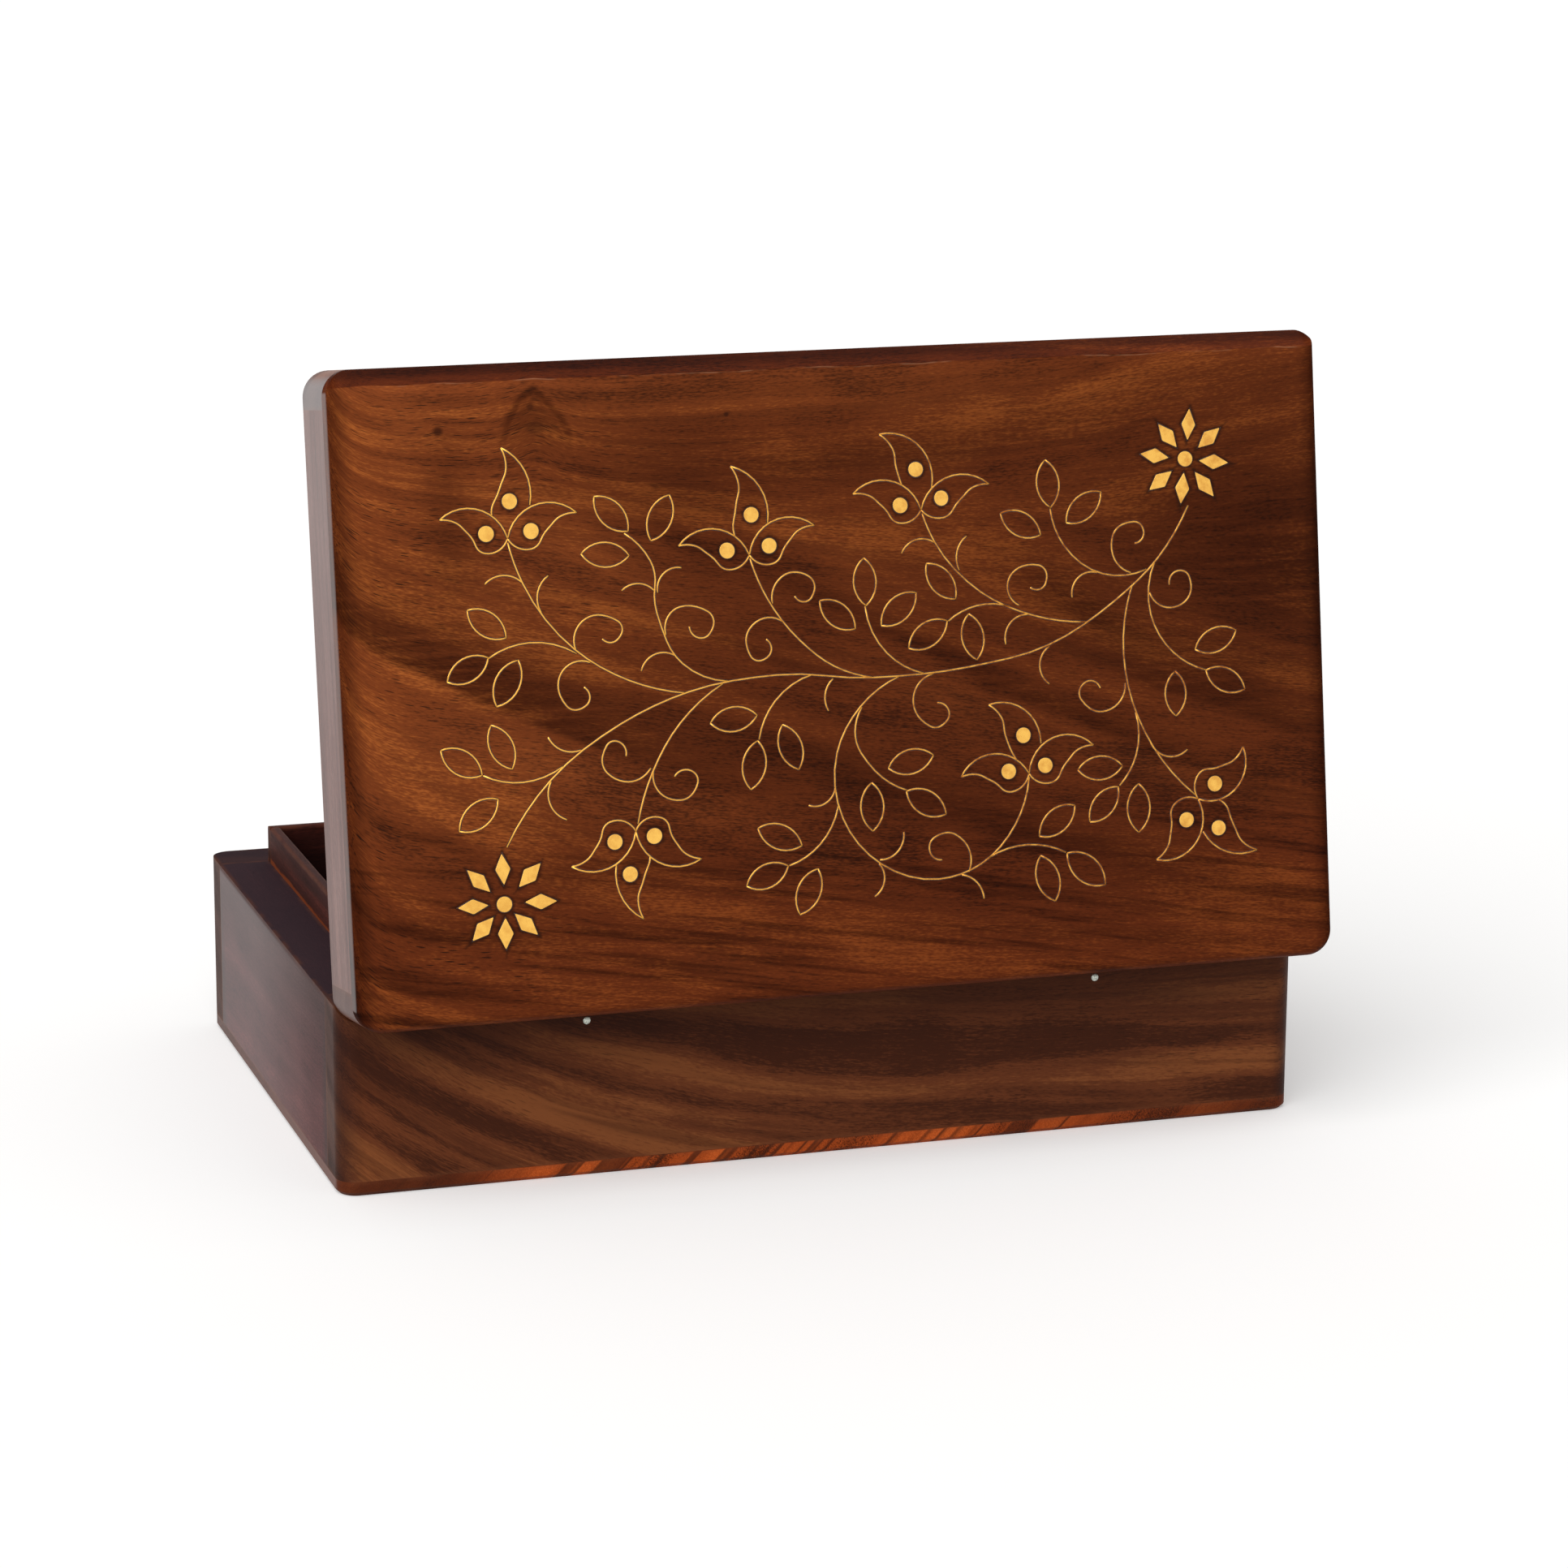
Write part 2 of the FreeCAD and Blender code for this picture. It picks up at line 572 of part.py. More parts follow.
def lid_pieces():
    """The four rails and the panel, lid closed. The panel's front edge has a wide hand-planed bevel."""
    rails = frame_boards(plan_block(lid_radii, rim_z, panel_bottom), rail_thickness)
    pieces = {"lid_" + name + "_rail": board for name, board in rails.items()}
    panel = plan_block(lid_radii, panel_bottom, lid_top)
    front = -half_depth
    bevel_outline = [(front - overcut, lid_top + overcut), (front - overcut, lid_top - front_bevel_drop),
                     (front, lid_top - front_bevel_drop), (front + front_bevel_width, lid_top),
                     (front + front_bevel_width, lid_top + overcut)]
    bevel = prism_along_x(bevel_outline, box_width + 2 * overcut)
    top_edges = [edge for edge in panel.Edges if edge.BoundBox.ZMin > lid_top - slack]
    pieces["lid_panel"] = panel.makeFillet(panel_edge_radius, top_edges).cut(bevel)
    return pieces


def fit_hinges(base, lid):
    """Add the hinges, and cut their seats in the rear boards."""
    base["base_back_wall"] = base["base_back_wall"].cut(stop_wedge(base_height, -1))
    lid["lid_back_rail"] = lid["lid_back_rail"].cut(stop_wedge(rim_z, 1))
    for name, side in sides.items():
        x = side * hinge_spacing / 2
        outer, inner = knuckle_spans(x)
        base["base_back_wall"] = base["base_back_wall"].cut(leaf_slot(x, -1))
        lid["lid_back_rail"] = lid["lid_back_rail"].cut(leaf_slot(x, 1))
        base["base_hinge_leaf_" + name] = hinge_leaf(x, -1, outer, inner, pin_radius)
        base["hinge_pin_" + name] = rod(x - leaf_width / 2, pin_radius, leaf_width)
        lid["lid_hinge_leaf_" + name] = hinge_leaf(x, 1, inner, outer, pin_radius + pin_running_clearance)


def opened(shape):
    """A lid piece turned about the hinge axis onto the stop."""
    turned = shape.copy()
    turned.rotate(FreeCAD.Vector(0, hinge_y, hinge_z), along_x, -open_angle)
    return turned


def build():
    """Every piece of the box, by name, with the lid open."""
    base = base_pieces()
    lid = lid_pieces()
    fit_hinges(base, lid)
    plates = plate_pieces()
    lid["lid_panel"] = lid["lid_panel"].cut(list(plates.values()))
    lid.update(wire_pieces())
    lid.update(plates)
    pieces = dict(base)
    pieces.update({name: opened(shape) for name, shape in lid.items()})
    return pieces


os.makedirs("parts", exist_ok=True)
for node, shape in build().items():
    shape.exportStep("parts/" + node + ".step")
    print(node, len(shape.Solids), "solids,", round(shape.Volume, 2), "mm3, valid", shape.isValid())
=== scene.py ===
"""Dressing for a hinged wooden box: rosewood grain, the brass vine on the lid, nails, light and camera.

Shapes are drawn in millimetres and turned to metres when a mesh is finished. The vine is drawn on
the closed lid's face: the first number grows towards -X, the second towards the front edge.
"""
from __future__ import annotations

import json
import logging
import math
import random
from collections.abc import Callable, Iterable, Mapping, Sequence
from dataclasses import asdict, dataclass, field, fields, replace
from enum import Enum
from functools import reduce
from typing import NamedTuple, Union

import bmesh
import bpy
from bmesh.types import BMEdge, BMesh, BMFace, BMVert
from bpy.types import Material, Node, NodeSocket, NodeTree
from mathutils import Matrix, Vector


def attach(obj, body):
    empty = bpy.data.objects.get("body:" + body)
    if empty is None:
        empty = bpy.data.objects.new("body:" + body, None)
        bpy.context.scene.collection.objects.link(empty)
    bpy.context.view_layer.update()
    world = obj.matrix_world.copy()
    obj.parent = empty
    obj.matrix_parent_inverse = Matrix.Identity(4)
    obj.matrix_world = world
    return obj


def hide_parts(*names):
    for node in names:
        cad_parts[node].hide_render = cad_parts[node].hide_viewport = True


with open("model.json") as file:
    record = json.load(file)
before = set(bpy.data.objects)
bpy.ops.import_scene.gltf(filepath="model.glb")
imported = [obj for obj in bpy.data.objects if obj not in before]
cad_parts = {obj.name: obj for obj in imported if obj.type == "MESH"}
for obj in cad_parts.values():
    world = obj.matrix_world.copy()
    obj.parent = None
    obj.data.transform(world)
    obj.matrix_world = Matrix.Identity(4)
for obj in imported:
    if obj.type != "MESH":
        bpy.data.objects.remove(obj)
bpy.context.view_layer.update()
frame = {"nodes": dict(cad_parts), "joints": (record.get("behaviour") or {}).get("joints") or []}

LOG = logging.getLogger("inlaid_box")
MILLIMETRE = 0.001
NEARLY_STRAIGHT = 0.005
UP = Vector((0.0, 0.0, 1.0))

Colour = tuple[float, float, float, float]
Point = tuple[float, float]
Triple = tuple[float, float, float]
Feed = Union["Signal", float, Sequence[float]]


class Body(Enum):
    """The moving bodies of the box."""

    BASE = "base"
    LID = "lid"


class Slot(Enum):
    """The material slots of the record."""

    INLAY_BRASS = "inlay_brass"
    LID_WOOD = "lid_wood"
    STEEL = "hinge_steel"


class SocketKind(Enum):
    """The kinds of sockets that a node group can have."""

    VALUE = "NodeSocketFloat"
    VECTOR = "NodeSocketVector"
    COLOUR = "NodeSocketColor"

    def named(self, *names: str) -> dict[str, SocketKind]:
        """Sockets of this kind, by name."""
        return dict.fromkeys(names, self)


class GrainLay(Enum):
    """How a board's fibres lie. The rows give the directions along, across and through the board."""

    PANEL = ((-1, 0, 0), (0, -1, 0), (0, 0, 1))
    LONG_BOARD = ((-1, 0, 0), (0, 0, 1), (0, 1, 0))
    SHORT_BOARD = ((0, -1, 0), (0, 0, 1), (-1, 0, 0))
    FLOOR_BOARD = ((0, -1, 0), (1, 0, 0), (0, 0, 1))


def tone(red: int, green: int, blue: int) -> Colour:
    """A colour written as it looks on a screen, as the linear colour that shaders take.

    Args:
        red: The red part, 0 to 255.
        green: The green part, 0 to 255.
        blue: The blue part, 0 to 255.

    Returns:
        The linear colour with full alpha.
    """
    parts = [value / 255 for value in (red, green, blue)]
    linear = [part / 12.92 if part <= 0.04045 else ((part + 0.055) / 1.055) ** 2.4 for part in parts]
    return linear[0], linear[1], linear[2], 1.0


class Ramp(NamedTuple):
    """A smooth change of level: where it begins, where it is complete, and the levels there."""

    low: float
    high: float
    start: float = 0.0
    end: float = 1.0


class Noise(NamedTuple):
    """Soft random noise: cycles per millimetre, where it is cut from, and its finer layers."""

    stretch: Triple
    shift: Triple
    detail: float = 2.0
    roughness: float = 0.5


def names_of(kind: type) -> list[str]:
    """The names of a dataclass's fields."""
    return [item.name for item in fields(kind)]


class NodeBench:
    """Adds nodes to one tree and joins them up."""

    def __init__(self, tree: NodeTree) -> None:
        """Keep the tree that nodes go to."""
        self.tree = tree

    def node(self, kind: str, **settings: object) -> Node:
        """Add a node.

        Args:
            kind: The node's type name.
            **settings: Properties of the node to set.

        Returns:
            The new node.
        """
        made = self.tree.nodes.new(kind)
        for name, value in settings.items():
            setattr(made, name, value)
        return made

    def feed(self, socket: NodeSocket, value: Feed) -> None:
        """Link a signal to an input, or set the input's own value.

        Args:
            socket: The input.
            value: The signal or the value.
        """
        if isinstance(value, Signal):
            self.tree.links.new(value.socket, socket)
        else:
            socket.default_value = value

    def fed(self, node: Node, values: Mapping[str, Feed]) -> dict[str, Signal]:
        """Feed some inputs of a node.

        Args:
            node: The node.
            values: What goes to its inputs, by name.

        Returns:
            Its outputs, by name.
        """
        for name, value in values.items():
            self.feed(node.inputs[name], value)
        return {socket.name: Signal(self, socket) for socket in node.outputs}

    def made(self, kind: str, values: Iterable[Feed], **settings: object) -> Signal:
        """Add a node for the sake of its first output.

        Args:
            kind: The node's type name.
            values: What goes to its inputs, in order.
            **settings: Properties of the node to set.

        Returns:
            Its first output.
        """
        node = self.node(kind, **settings)
        for socket, value in zip(node.inputs, values):
            self.feed(socket, value)
        return Signal(self, node.outputs[0])

    def group(self, tree: NodeTree, **values: Feed) -> dict[str, Signal]:
        """Place a node group with its own values and give its outputs by name."""
        return self.fed(self.node("ShaderNodeGroup", node_tree=tree), values)

    def joined(self, *parts: Feed) -> Signal:
        """A vector from its three parts."""
        return self.made("ShaderNodeCombineXYZ", parts)

    def mix(self, mask: Feed, under: Feed, over: Feed, blend: str = "MIX") -> Signal:
        """Mix two colours.

        Args:
            mask: How much of the upper colour shows, 0 to 1.
            under: The colour underneath.
            over: The colour on top.
            blend: The way in which they mix.

        Returns:
            The mixed colour.
        """
        node = self.node("ShaderNodeMix", data_type="RGBA", blend_type=blend)
        for index, value in ((0, mask), (6, under), (7, over)):
            self.feed(node.inputs[index], value)
        return Signal(self, node.outputs[2])

    def places(self) -> Signal:
        """The object's own coordinates, in millimetres."""
        coordinates = Signal(self, self.node("ShaderNodeTexCoord").outputs["Object"])
        return coordinates.vector("MULTIPLY", (1 / MILLIMETRE,) * 3)

    def give(self, kinds: Mapping[str, SocketKind], *results: Signal) -> NodeTree:
        """End a node group with its outputs.

        Args:
            kinds: The outputs, by name.
            *results: What goes to them, in order.

        Returns:
            The group.
        """
        for name, kind in kinds.items():
            self.tree.interface.new_socket(name, in_out="OUTPUT", socket_type=kind.value)
        end = self.node("NodeGroupOutput")
        for socket, result in zip(end.inputs, results):
            self.feed(socket, result)
        return self.tree


@dataclass(frozen=True, eq=False)
class Signal:
    """A number, vector or colour on its way through a node tree. Working with it adds nodes."""

    bench: NodeBench
    socket: NodeSocket

    def maths(self, operation: str, *others: Feed, clamp: bool = False) -> Signal:
        """This number worked out with others by a Math node."""
        return self.bench.made("ShaderNodeMath", (self, *others), operation=operation, use_clamp=clamp)

    def __add__(self, other: Feed) -> Signal:
        """The sum."""
        return self.maths("ADD", other)

    def __sub__(self, other: Feed) -> Signal:
        """The difference."""
        return self.maths("SUBTRACT", other)

    def __rsub__(self, other: float) -> Signal:
        """The difference of a plain number and this one."""
        return -self + other

    def __mul__(self, other: Feed) -> Signal:
        """The product."""
        return self.maths("MULTIPLY", other)

    def __truediv__(self, other: Feed) -> Signal:
        """The quotient."""
        return self.maths("DIVIDE", other)

    def __pow__(self, other: Feed) -> Signal:
        """The power."""
        return self.maths("POWER", other)

    def __neg__(self) -> Signal:
        """The number with its sign turned."""
        return self * -1.0

    def __abs__(self) -> Signal:
        """The number without its sign."""
        return self.maths("ABSOLUTE")

    def exp(self) -> Signal:
        """The exponential."""
        return self.maths("EXPONENT")

    def tanh(self) -> Signal:
        """The hyperbolic tangent."""
        return self.maths("TANH")

    def at_least(self, other: Feed) -> Signal:
        """The larger of two numbers."""
        return self.maths("MAXIMUM", other)

    def at_most(self, other: Feed) -> Signal:
        """The smaller of two numbers."""
        return self.maths("MINIMUM", other)

    def clamped(self) -> Signal:
        """The number kept between 0 and 1."""
        return self.maths("ADD", 0.0, clamp=True)

    def vector(self, operation: str, *others: Feed) -> Signal:
        """This vector worked out with others by a Vector Math node.

        Args:
            operation: The node's operation.
            *others: Its other inputs, in order.

        Returns:
            A vector, or for LENGTH and DISTANCE a number.
        """
        result = self.bench.made("ShaderNodeVectorMath", (self, *others), operation=operation)
        if operation in ("LENGTH", "DISTANCE"):
            return Signal(self.bench, result.socket.node.outputs["Value"])
        return result

    def split(self) -> list[Signal]:
        """The three parts of this vector."""
        node = self.bench.made("ShaderNodeSeparateXYZ", (self,)).socket.node
        return [Signal(self.bench, part) for part in node.outputs]

    def ease(self, low: Feed, high: Feed, start: Feed = 0.0, end: Feed = 1.0) -> Signal:
        """Go smoothly from one level to another as this number passes between two limits.

        Args:
            low: Where the change begins.
            high: Where the change is complete.
            start: The level up to low.
            end: The level from high on.

        Returns:
            The level.
        """
        inputs = (self, low, high, start, end)
        return self.bench.made("ShaderNodeMapRange", inputs, interpolation_type="SMOOTHSTEP")

    def noise(self, stretch: Feed, shift: Feed, detail: float = 2.0, roughness: float = 0.5) -> Signal:
        """Soft random noise from 0 to 1, read at this place.

        Args:
            stretch: Cycles per millimetre in each direction.
            shift: Moves the pattern, so that boards differ.
            detail: How many finer layers are added.
            roughness: How strong the finer layers are.

        Returns:
            The noise.
        """
        node = self.bench.node("ShaderNodeTexNoise")
        place = self.vector("MULTIPLY_ADD", stretch, shift)
        self.bench.fed(node, {"Vector": place, "Scale": 1.0, "Detail": detail, "Roughness": roughness})
        return Signal(self.bench, node.outputs[0])

    def mixed(self, other: Feed, mask: Feed) -> Signal:
        """This colour with another over it, as far as the mask shows it."""
        return self.bench.mix(mask, self, other)

    def tinted(self, gain: Feed, mask: Feed = 1.0) -> Signal:
        """This colour times a gain, as far as the mask shows it."""
        return self.bench.mix(mask, self, gain, "MULTIPLY")


def open_group(name: str, inputs: Mapping[str, SocketKind]) -> tuple[NodeBench, dict[str, Signal]]:
    """Start a shader node group.

    Args:
        name: The group's name.
        inputs: Its inputs, by name.

    Returns:
        The bench of the group and its inputs.
    """
    bench = NodeBench(bpy.data.node_groups.new(name, "ShaderNodeTree"))
    for label, kind in inputs.items():
        bench.tree.interface.new_socket(label, in_out="INPUT", socket_type=kind.value)
    given = bench.node("NodeGroupInput")
    return bench, {label: Signal(bench, given.outputs[label]) for label in inputs}


class Effects:
    """The shader node groups that the finishes share."""

    def __init__(self) -> None:
        """Build every group once."""
        self.flow = self.grain_flow()
        self.rosewood = self.rosewood_grain()
        self.knot = self.grain_knot()
        self.streak = self.grain_streak()
        self.wear = self.edge_wear()
        self.patina = self.brass_patina()

    @staticmethod
    def grain_flow() -> NodeTree:
        """How growth rings run over a board: fanned out, bent up at one end and wandering.

        Returns:
            The group, which gives places counted along the fibres, across the rings and in depth, and the
            same for the fibres, which may bend less than the rings.
        """
        bench, given = open_group("Grain flow", SocketKind.VECTOR.named("board", "shift")
                                  | SocketKind.VALUE.named(*names_of(GrainFlow)))
        along, across, depth = given["board"].split()
        fall = ((-along + given["start"]) / given["bend_reach"]).exp()
        middle = given["fan_tilt"] * along + given["fan_middle"]
        upper = (across - middle) / given["fan_width"]
        lower = (across - given["low_middle"]) / given["low_width"]
        lean = given["fan"] * upper.tanh() + given["slope"] + given["low_fan"] * lower.tanh()
        sway = given["board"].noise((1 / 75, 1 / 30, 1 / 30), given["shift"], 2.0, 0.45) - 0.5
        swung = sway * given["wander"] - lean * (along - given["pivot"])
        ring = across - given["bend"] * fall + swung
        rings = bench.joined(along, given["rake"] * depth + ring, depth)
        fibres = bench.joined(along, (ring - across) * given["follow"] + across, depth)
        return bench.give(SocketKind.VECTOR.named("grain", "fibre"), rings, fibres)

    @staticmethod
    def rosewood_grain() -> NodeTree:
        """Bands, fine fibres, clouds and pores of an oiled Indian rosewood board.

        Returns:
            The group, which gives the colour, the height for bump and the tone from dark to light.
        """
        bench, given = open_group("Rosewood grain", SocketKind.VECTOR.named("grain", "fibre", "shift")
                                  | SocketKind.COLOUR.named(*names_of(WoodTones))
                                  | SocketKind.VALUE.named("band_width", "banding", "pores"))
        grain, fibre, shift = given["grain"], given["fibre"], given["shift"]
        per_band = given["band_width"] ** -1.0
        wide = grain.noise(bench.joined(1 / 150, per_band, 1 / 60), shift, 2.5, 0.55)
        swept = grain.noise(bench.joined(1 / 70, per_band * 3.1, 1 / 40), shift, 2.0, 0.55)
        thin = grain.noise(bench.joined(1 / 130, per_band * 8.0, 1 / 40), shift, 1.0)
        fibres = fibre.noise((1 / 8, 1 / 0.5, 1 / 0.5), shift, 3.0, 0.65)
        flecks = fibre.noise((1 / 1.2, 1 / 0.24, 1 / 0.24), shift, 1.0)
        clouds = grain.noise((1 / 20, 1 / 12, 1 / 12), shift, 3.0, 0.55)
        level = (wide.ease(0.34, 0.66) - 0.5) * given["banding"]
        for layer, strength in ((clouds, 0.7), (fibres, 0.7), (flecks, 0.8)):
            level = (layer - 0.5) * strength + level
        level = (level + 0.5).clamped()
        lower = given["dark"].mixed(given["middle"], level.ease(0.0, 0.5))
        whole = lower.mixed(given["light"], level.ease(0.5, 1.0))
        streaks = (swept.ease(0.5, 0.72) * 0.6).at_least(thin.ease(0.58, 0.74) * 0.45)
        lined = whole.mixed(given["dark"], (streaks * given["banding"]).clamped())
        place = fibre.vector("MULTIPLY_ADD", (1 / 4.0, 1 / 0.45, 1 / 0.45), shift)
        cells = bench.fed(bench.node("ShaderNodeTexVoronoi"), {"Vector": place, "Scale": 1.0})
        dashes = cells["Distance"].ease(0.17, 0.33, 1.0, 0.0) * cells["Color"].ease(0.3, 0.42)
        patches = fibre.noise((1 / 34, 1 / 17, 1 / 17), shift, 1.0).ease(0.34, 0.6)
        pores = (dashes * patches * given["pores"]).clamped()
        colour = lined.mixed(given["pore"], pores)
        kinds = SocketKind.COLOUR.named("colour") | SocketKind.VALUE.named("height", "tone")
        return bench.give(kinds, colour, fibres * 0.3 - pores, level)

    @staticmethod
    def grain_knot() -> NodeTree:
        """A knot that lifts the rings into a steep arch and has a dark heart.

        Returns:
            The group, which gives the rise of the rings and the mask of the heart.
        """
        bench, given = open_group("Grain knot", SocketKind.VECTOR.named("board", "place", "heart")
                                  | SocketKind.VALUE.named("reach", "lift", "darkness"))
        offset = given["board"].vector("SUBTRACT", given["place"])
        aside, above, _ = offset.split()
        away = bench.joined(aside, given["reach"] * 0.4, 0.0).vector("LENGTH")
        near = (away / -given["reach"]).exp()
        over = above / (given["reach"] * 1.6)
        rise = near * (-(over * over)).exp() * given["lift"]
        flattened = offset.vector("MULTIPLY", (1.0, 1.0, 0.0))
        spread = flattened.vector("DIVIDE", given["heart"]).vector("LENGTH")
        heart = spread.ease(0.35, 1.1, 1.0, 0.0) * given["darkness"]
        return bench.give(SocketKind.VALUE.named("rise", "heart"), rise, heart)

    @staticmethod
    def grain_streak() -> NodeTree:
        """One long streak of a board, sharper on one side than on the other.

        Returns:
            The group, which gives the mask of the streak.
        """
        bench, given = open_group("Grain streak", SocketKind.VECTOR.named("board")
                                  | SocketKind.VALUE.named("sway", *names_of(Streak))
                                  | SocketKind.VECTOR.named("place"))
        aside, over, _ = given["board"].vector("SUBTRACT", given["place"]).split()
        off = over - (given["curve"] * aside + given["slope"]) * aside + given["sway"]
        width = given["below"].mixed(given["above"], off.maths("GREATER_THAN", 0.0))
        across = off / width
        along = aside / given["half_length"]
        mask = (-(across * across + along * along)).exp() * given["strength"]
        return bench.give(SocketKind.VALUE.named("mask"), mask)

    @staticmethod
    def edge_wear() -> NodeTree:
        """Where two faces of a block meet, and hands and polish have worn the edge.

        Returns:
            The group, which gives the mask of the worn edges.
        """
        bench, given = open_group("Edge wear", SocketKind.VECTOR.named("place", "half_size", "shift")
                                  | SocketKind.VALUE.named("width"))
        depth = given["half_size"].vector("SUBTRACT", given["place"].vector("ABSOLUTE"))
        x, y, z = [part.ease(0.0, given["width"], 1.0, 0.0) for part in depth.split()]
        edge = (x * y).at_least(y * z).at_least(z * x)
        patchy = given["place"].noise((1 / 7, 1 / 7, 1 / 7), given["shift"], 3.0, 0.6)
        return bench.give(SocketKind.VALUE.named("mask"), edge * patchy.ease(0.3, 0.62))

    @staticmethod
    def brass_patina() -> NodeTree:
        """Filed brass that has gone dull in patches.

        Returns:
            The group, which gives the colour, the roughness and the height for bump.
        """
        bench, given = open_group("Brass patina", SocketKind.VECTOR.named("place")
                                  | SocketKind.COLOUR.named("bright", "dull")
                                  | SocketKind.VALUE.named("dullness", "gloss"))
        blotch = given["place"].noise((1 / 1.9, 1 / 1.9, 1 / 1.9), (3.1, 7.7, 1.3), 4.0, 0.62)
        files = given["place"].noise((1 / 0.16, 1 / 1.7, 1 / 0.9), (9.4, 2.2, 5.8))
        worn = ((blotch.ease(0.36, 0.7) * 0.7 + 0.3) * given["dullness"]).clamped()
        rough = (files * 0.12 + (worn * 0.22 + given["gloss"])).clamped()
        kinds = SocketKind.COLOUR.named("colour") | SocketKind.VALUE.named("roughness", "height")
        return bench.give(kinds, given["bright"].mixed(given["dull"], worn), rough, files * 0.5 + blotch)


@dataclass(frozen=True)
class LidTurn:
    """The lid's turn about its hinge, from closed to the open rest."""

    hinge: Vector
    opening: float
    face: float

    @classmethod
    def from_frame(cls) -> LidTurn:
        """Read the hinge and the height of the closed lid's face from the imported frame.

        Returns:
            The turn, in millimetres and radians.
        """
        joint = frame["joints"][0]
        hinge = Vector(joint["pos_m"]) / MILLIMETRE
        opening = math.radians(max(joint["range_deg"]))
        closing = Matrix.Rotation(opening, 4, "X")
        panel = frame["nodes"]["lid_panel"].data.vertices
        heights = [(closing @ (vertex.co / MILLIMETRE - hinge) + hinge).z for vertex in panel]
        return cls(hinge, opening, max(heights))

    def closing(self) -> Matrix:
        """The turn that closes the lid, in millimetres."""
        there = Matrix.Translation(self.hinge)
        return there @ Matrix.Rotation(self.opening, 4, "X") @ Matrix.Translation(-self.hinge)

    def from_drawing(self) -> Matrix:
        """The move from the drawing, flat and in millimetres, to its place on the open lid in metres."""
        laid = Matrix.Translation((0.0, 0.0, self.face)) @ Matrix.Rotation(math.pi, 4, "Z")
        return Matrix.Scale(MILLIMETRE, 4) @ self.closing().inverted() @ laid


@dataclass(frozen=True)
class Arc:
    """A round run of wire on the lid's face, from a start and a heading to an end."""

    start: Vector
    heading: Vector
    end: Vector

    def turn(self) -> float:
        """How far the heading turns to the left along the arc, in radians."""
        chord = self.end - self.start
        return -2 * math.atan2(chord.x * self.heading.y - chord.y * self.heading.x, chord.dot(self.heading))

    def centre(self) -> Vector:
        """The middle of the arc's circle."""
        radius = (self.end - self.start).length / (2 * math.sin(self.turn() / 2))
        return self.start + left_of(self.heading) * radius

    def straight(self) -> bool:
        """Whether the arc is as good as straight."""
        return abs(self.turn()) < NEARLY_STRAIGHT

    def at(self, share: float) -> Vector:
        """The point a share of the way along.

        Args:
            share: From 0 at the start to 1 at the end.

        Returns:
            The point.
        """
        if self.straight():
            return self.start.lerp(self.end, share)
        centre = self.centre()
        return centre + Matrix.Rotation(self.turn() * share, 3, "Z") @ (self.start - centre)

    def backwards(self) -> Arc:
        """The same arc run the other way."""
        return Arc(self.end, -mirrored(self.heading, self.end - self.start), self.start)


def left_of(direction: Vector) -> Vector:
    """The direction a quarter turn to the left on the face."""
    return Vector((-direction.y, direction.x, 0.0))


def mirrored(direction: Vector, chord: Vector) -> Vector:
    """The heading at the far end of an arc that starts with the given one."""
    axis = chord.normalized()
    return axis * (2 * direction.dot(axis)) - direction


def flat(point: Point) -> Vector:
    """A drawn point as a vector on the face."""
    return Vector((*point, 0.0))


def bowed(start: Vector, end: Vector, height: float) -> Arc:
    """An arc that bows out to the left.

    Args:
        start: Where it starts.
        end: Where it ends.
        height: How far its middle stands off the straight line.

    Returns:
        The arc.
    """
    along = (end - start).normalized()
    lean = 2 * math.atan2(2 * height, (end - start).length)
    return Arc(start, along * math.cos(lean) + left_of(along) * math.sin(lean), end)


def arc_pair(start: Vector, heading: Vector, end: Vector, last: Vector) -> list[Arc]:
    """Two arcs that join smoothly.

    Args:
        start: Where the first arc starts.
        heading: The heading there.
        end: Where the second arc ends.
        last: The heading there.

    Returns:
        The two arcs.
    """
    chord = end - start
    reach = chord.dot(heading + last)
    bend = 2 * (heading.dot(last) - 1)
    if abs(bend) < 1e-6:
        length = chord.dot(chord) / (2 * reach)
    else:
        length = (reach - math.sqrt(reach * reach - bend * chord.dot(chord))) / bend
    join = (start + heading * length + end - last * length) / 2
    return [Arc(start, heading, join), Arc(join, mirrored(heading, join - start), end)]


def arcs_through(points: Sequence[Vector]) -> list[Arc]:
    """A smooth chain of arcs through points.

    Args:
        points: At least three points.

    Returns:
        The arcs, in order.
    """
    steps = [after - before for before, after in zip(points, points[1:])]
    inner = [(a.normalized() * b.length + b.normalized() * a.length).normalized()
             for a, b in zip(steps, steps[1:])]
    headings = [mirrored(inner[0], steps[0])] + inner + [mirrored(inner[-1], steps[-1])]
    ends = list(zip(points, headings))
    return [arc for first, last in zip(ends, ends[1:]) for arc in arc_pair(*first, *last)]


def run_back(chain: Sequence[Arc]) -> list[Arc]:
    """The same chain of arcs, run from its end to its start."""
    return [arc.backwards() for arc in reversed(chain)]


def corners_of(chain: Iterable[Arc], parts: int = 8) -> list[Vector]:
    """Points along a chain of arcs, close enough together to test what lies inside."""
    return [arc.at(index / parts) for arc in chain for index in range(parts)]


def encloses(outline: Sequence[Vector], point: Vector) -> bool:
    """Whether a closed outline goes round a point.

    Args:
        outline: The outline's corners, in order.
        point: The point.

    Returns:
        True if the point is inside.
    """
    inside = False
    for a, b in zip(outline, [*outline[1:], outline[0]]):
        if (a.y > point.y) != (b.y > point.y):
            if point.x < a.x + (point.y - a.y) * (b.x - a.x) / (b.y - a.y):
                inside = not inside
    return inside


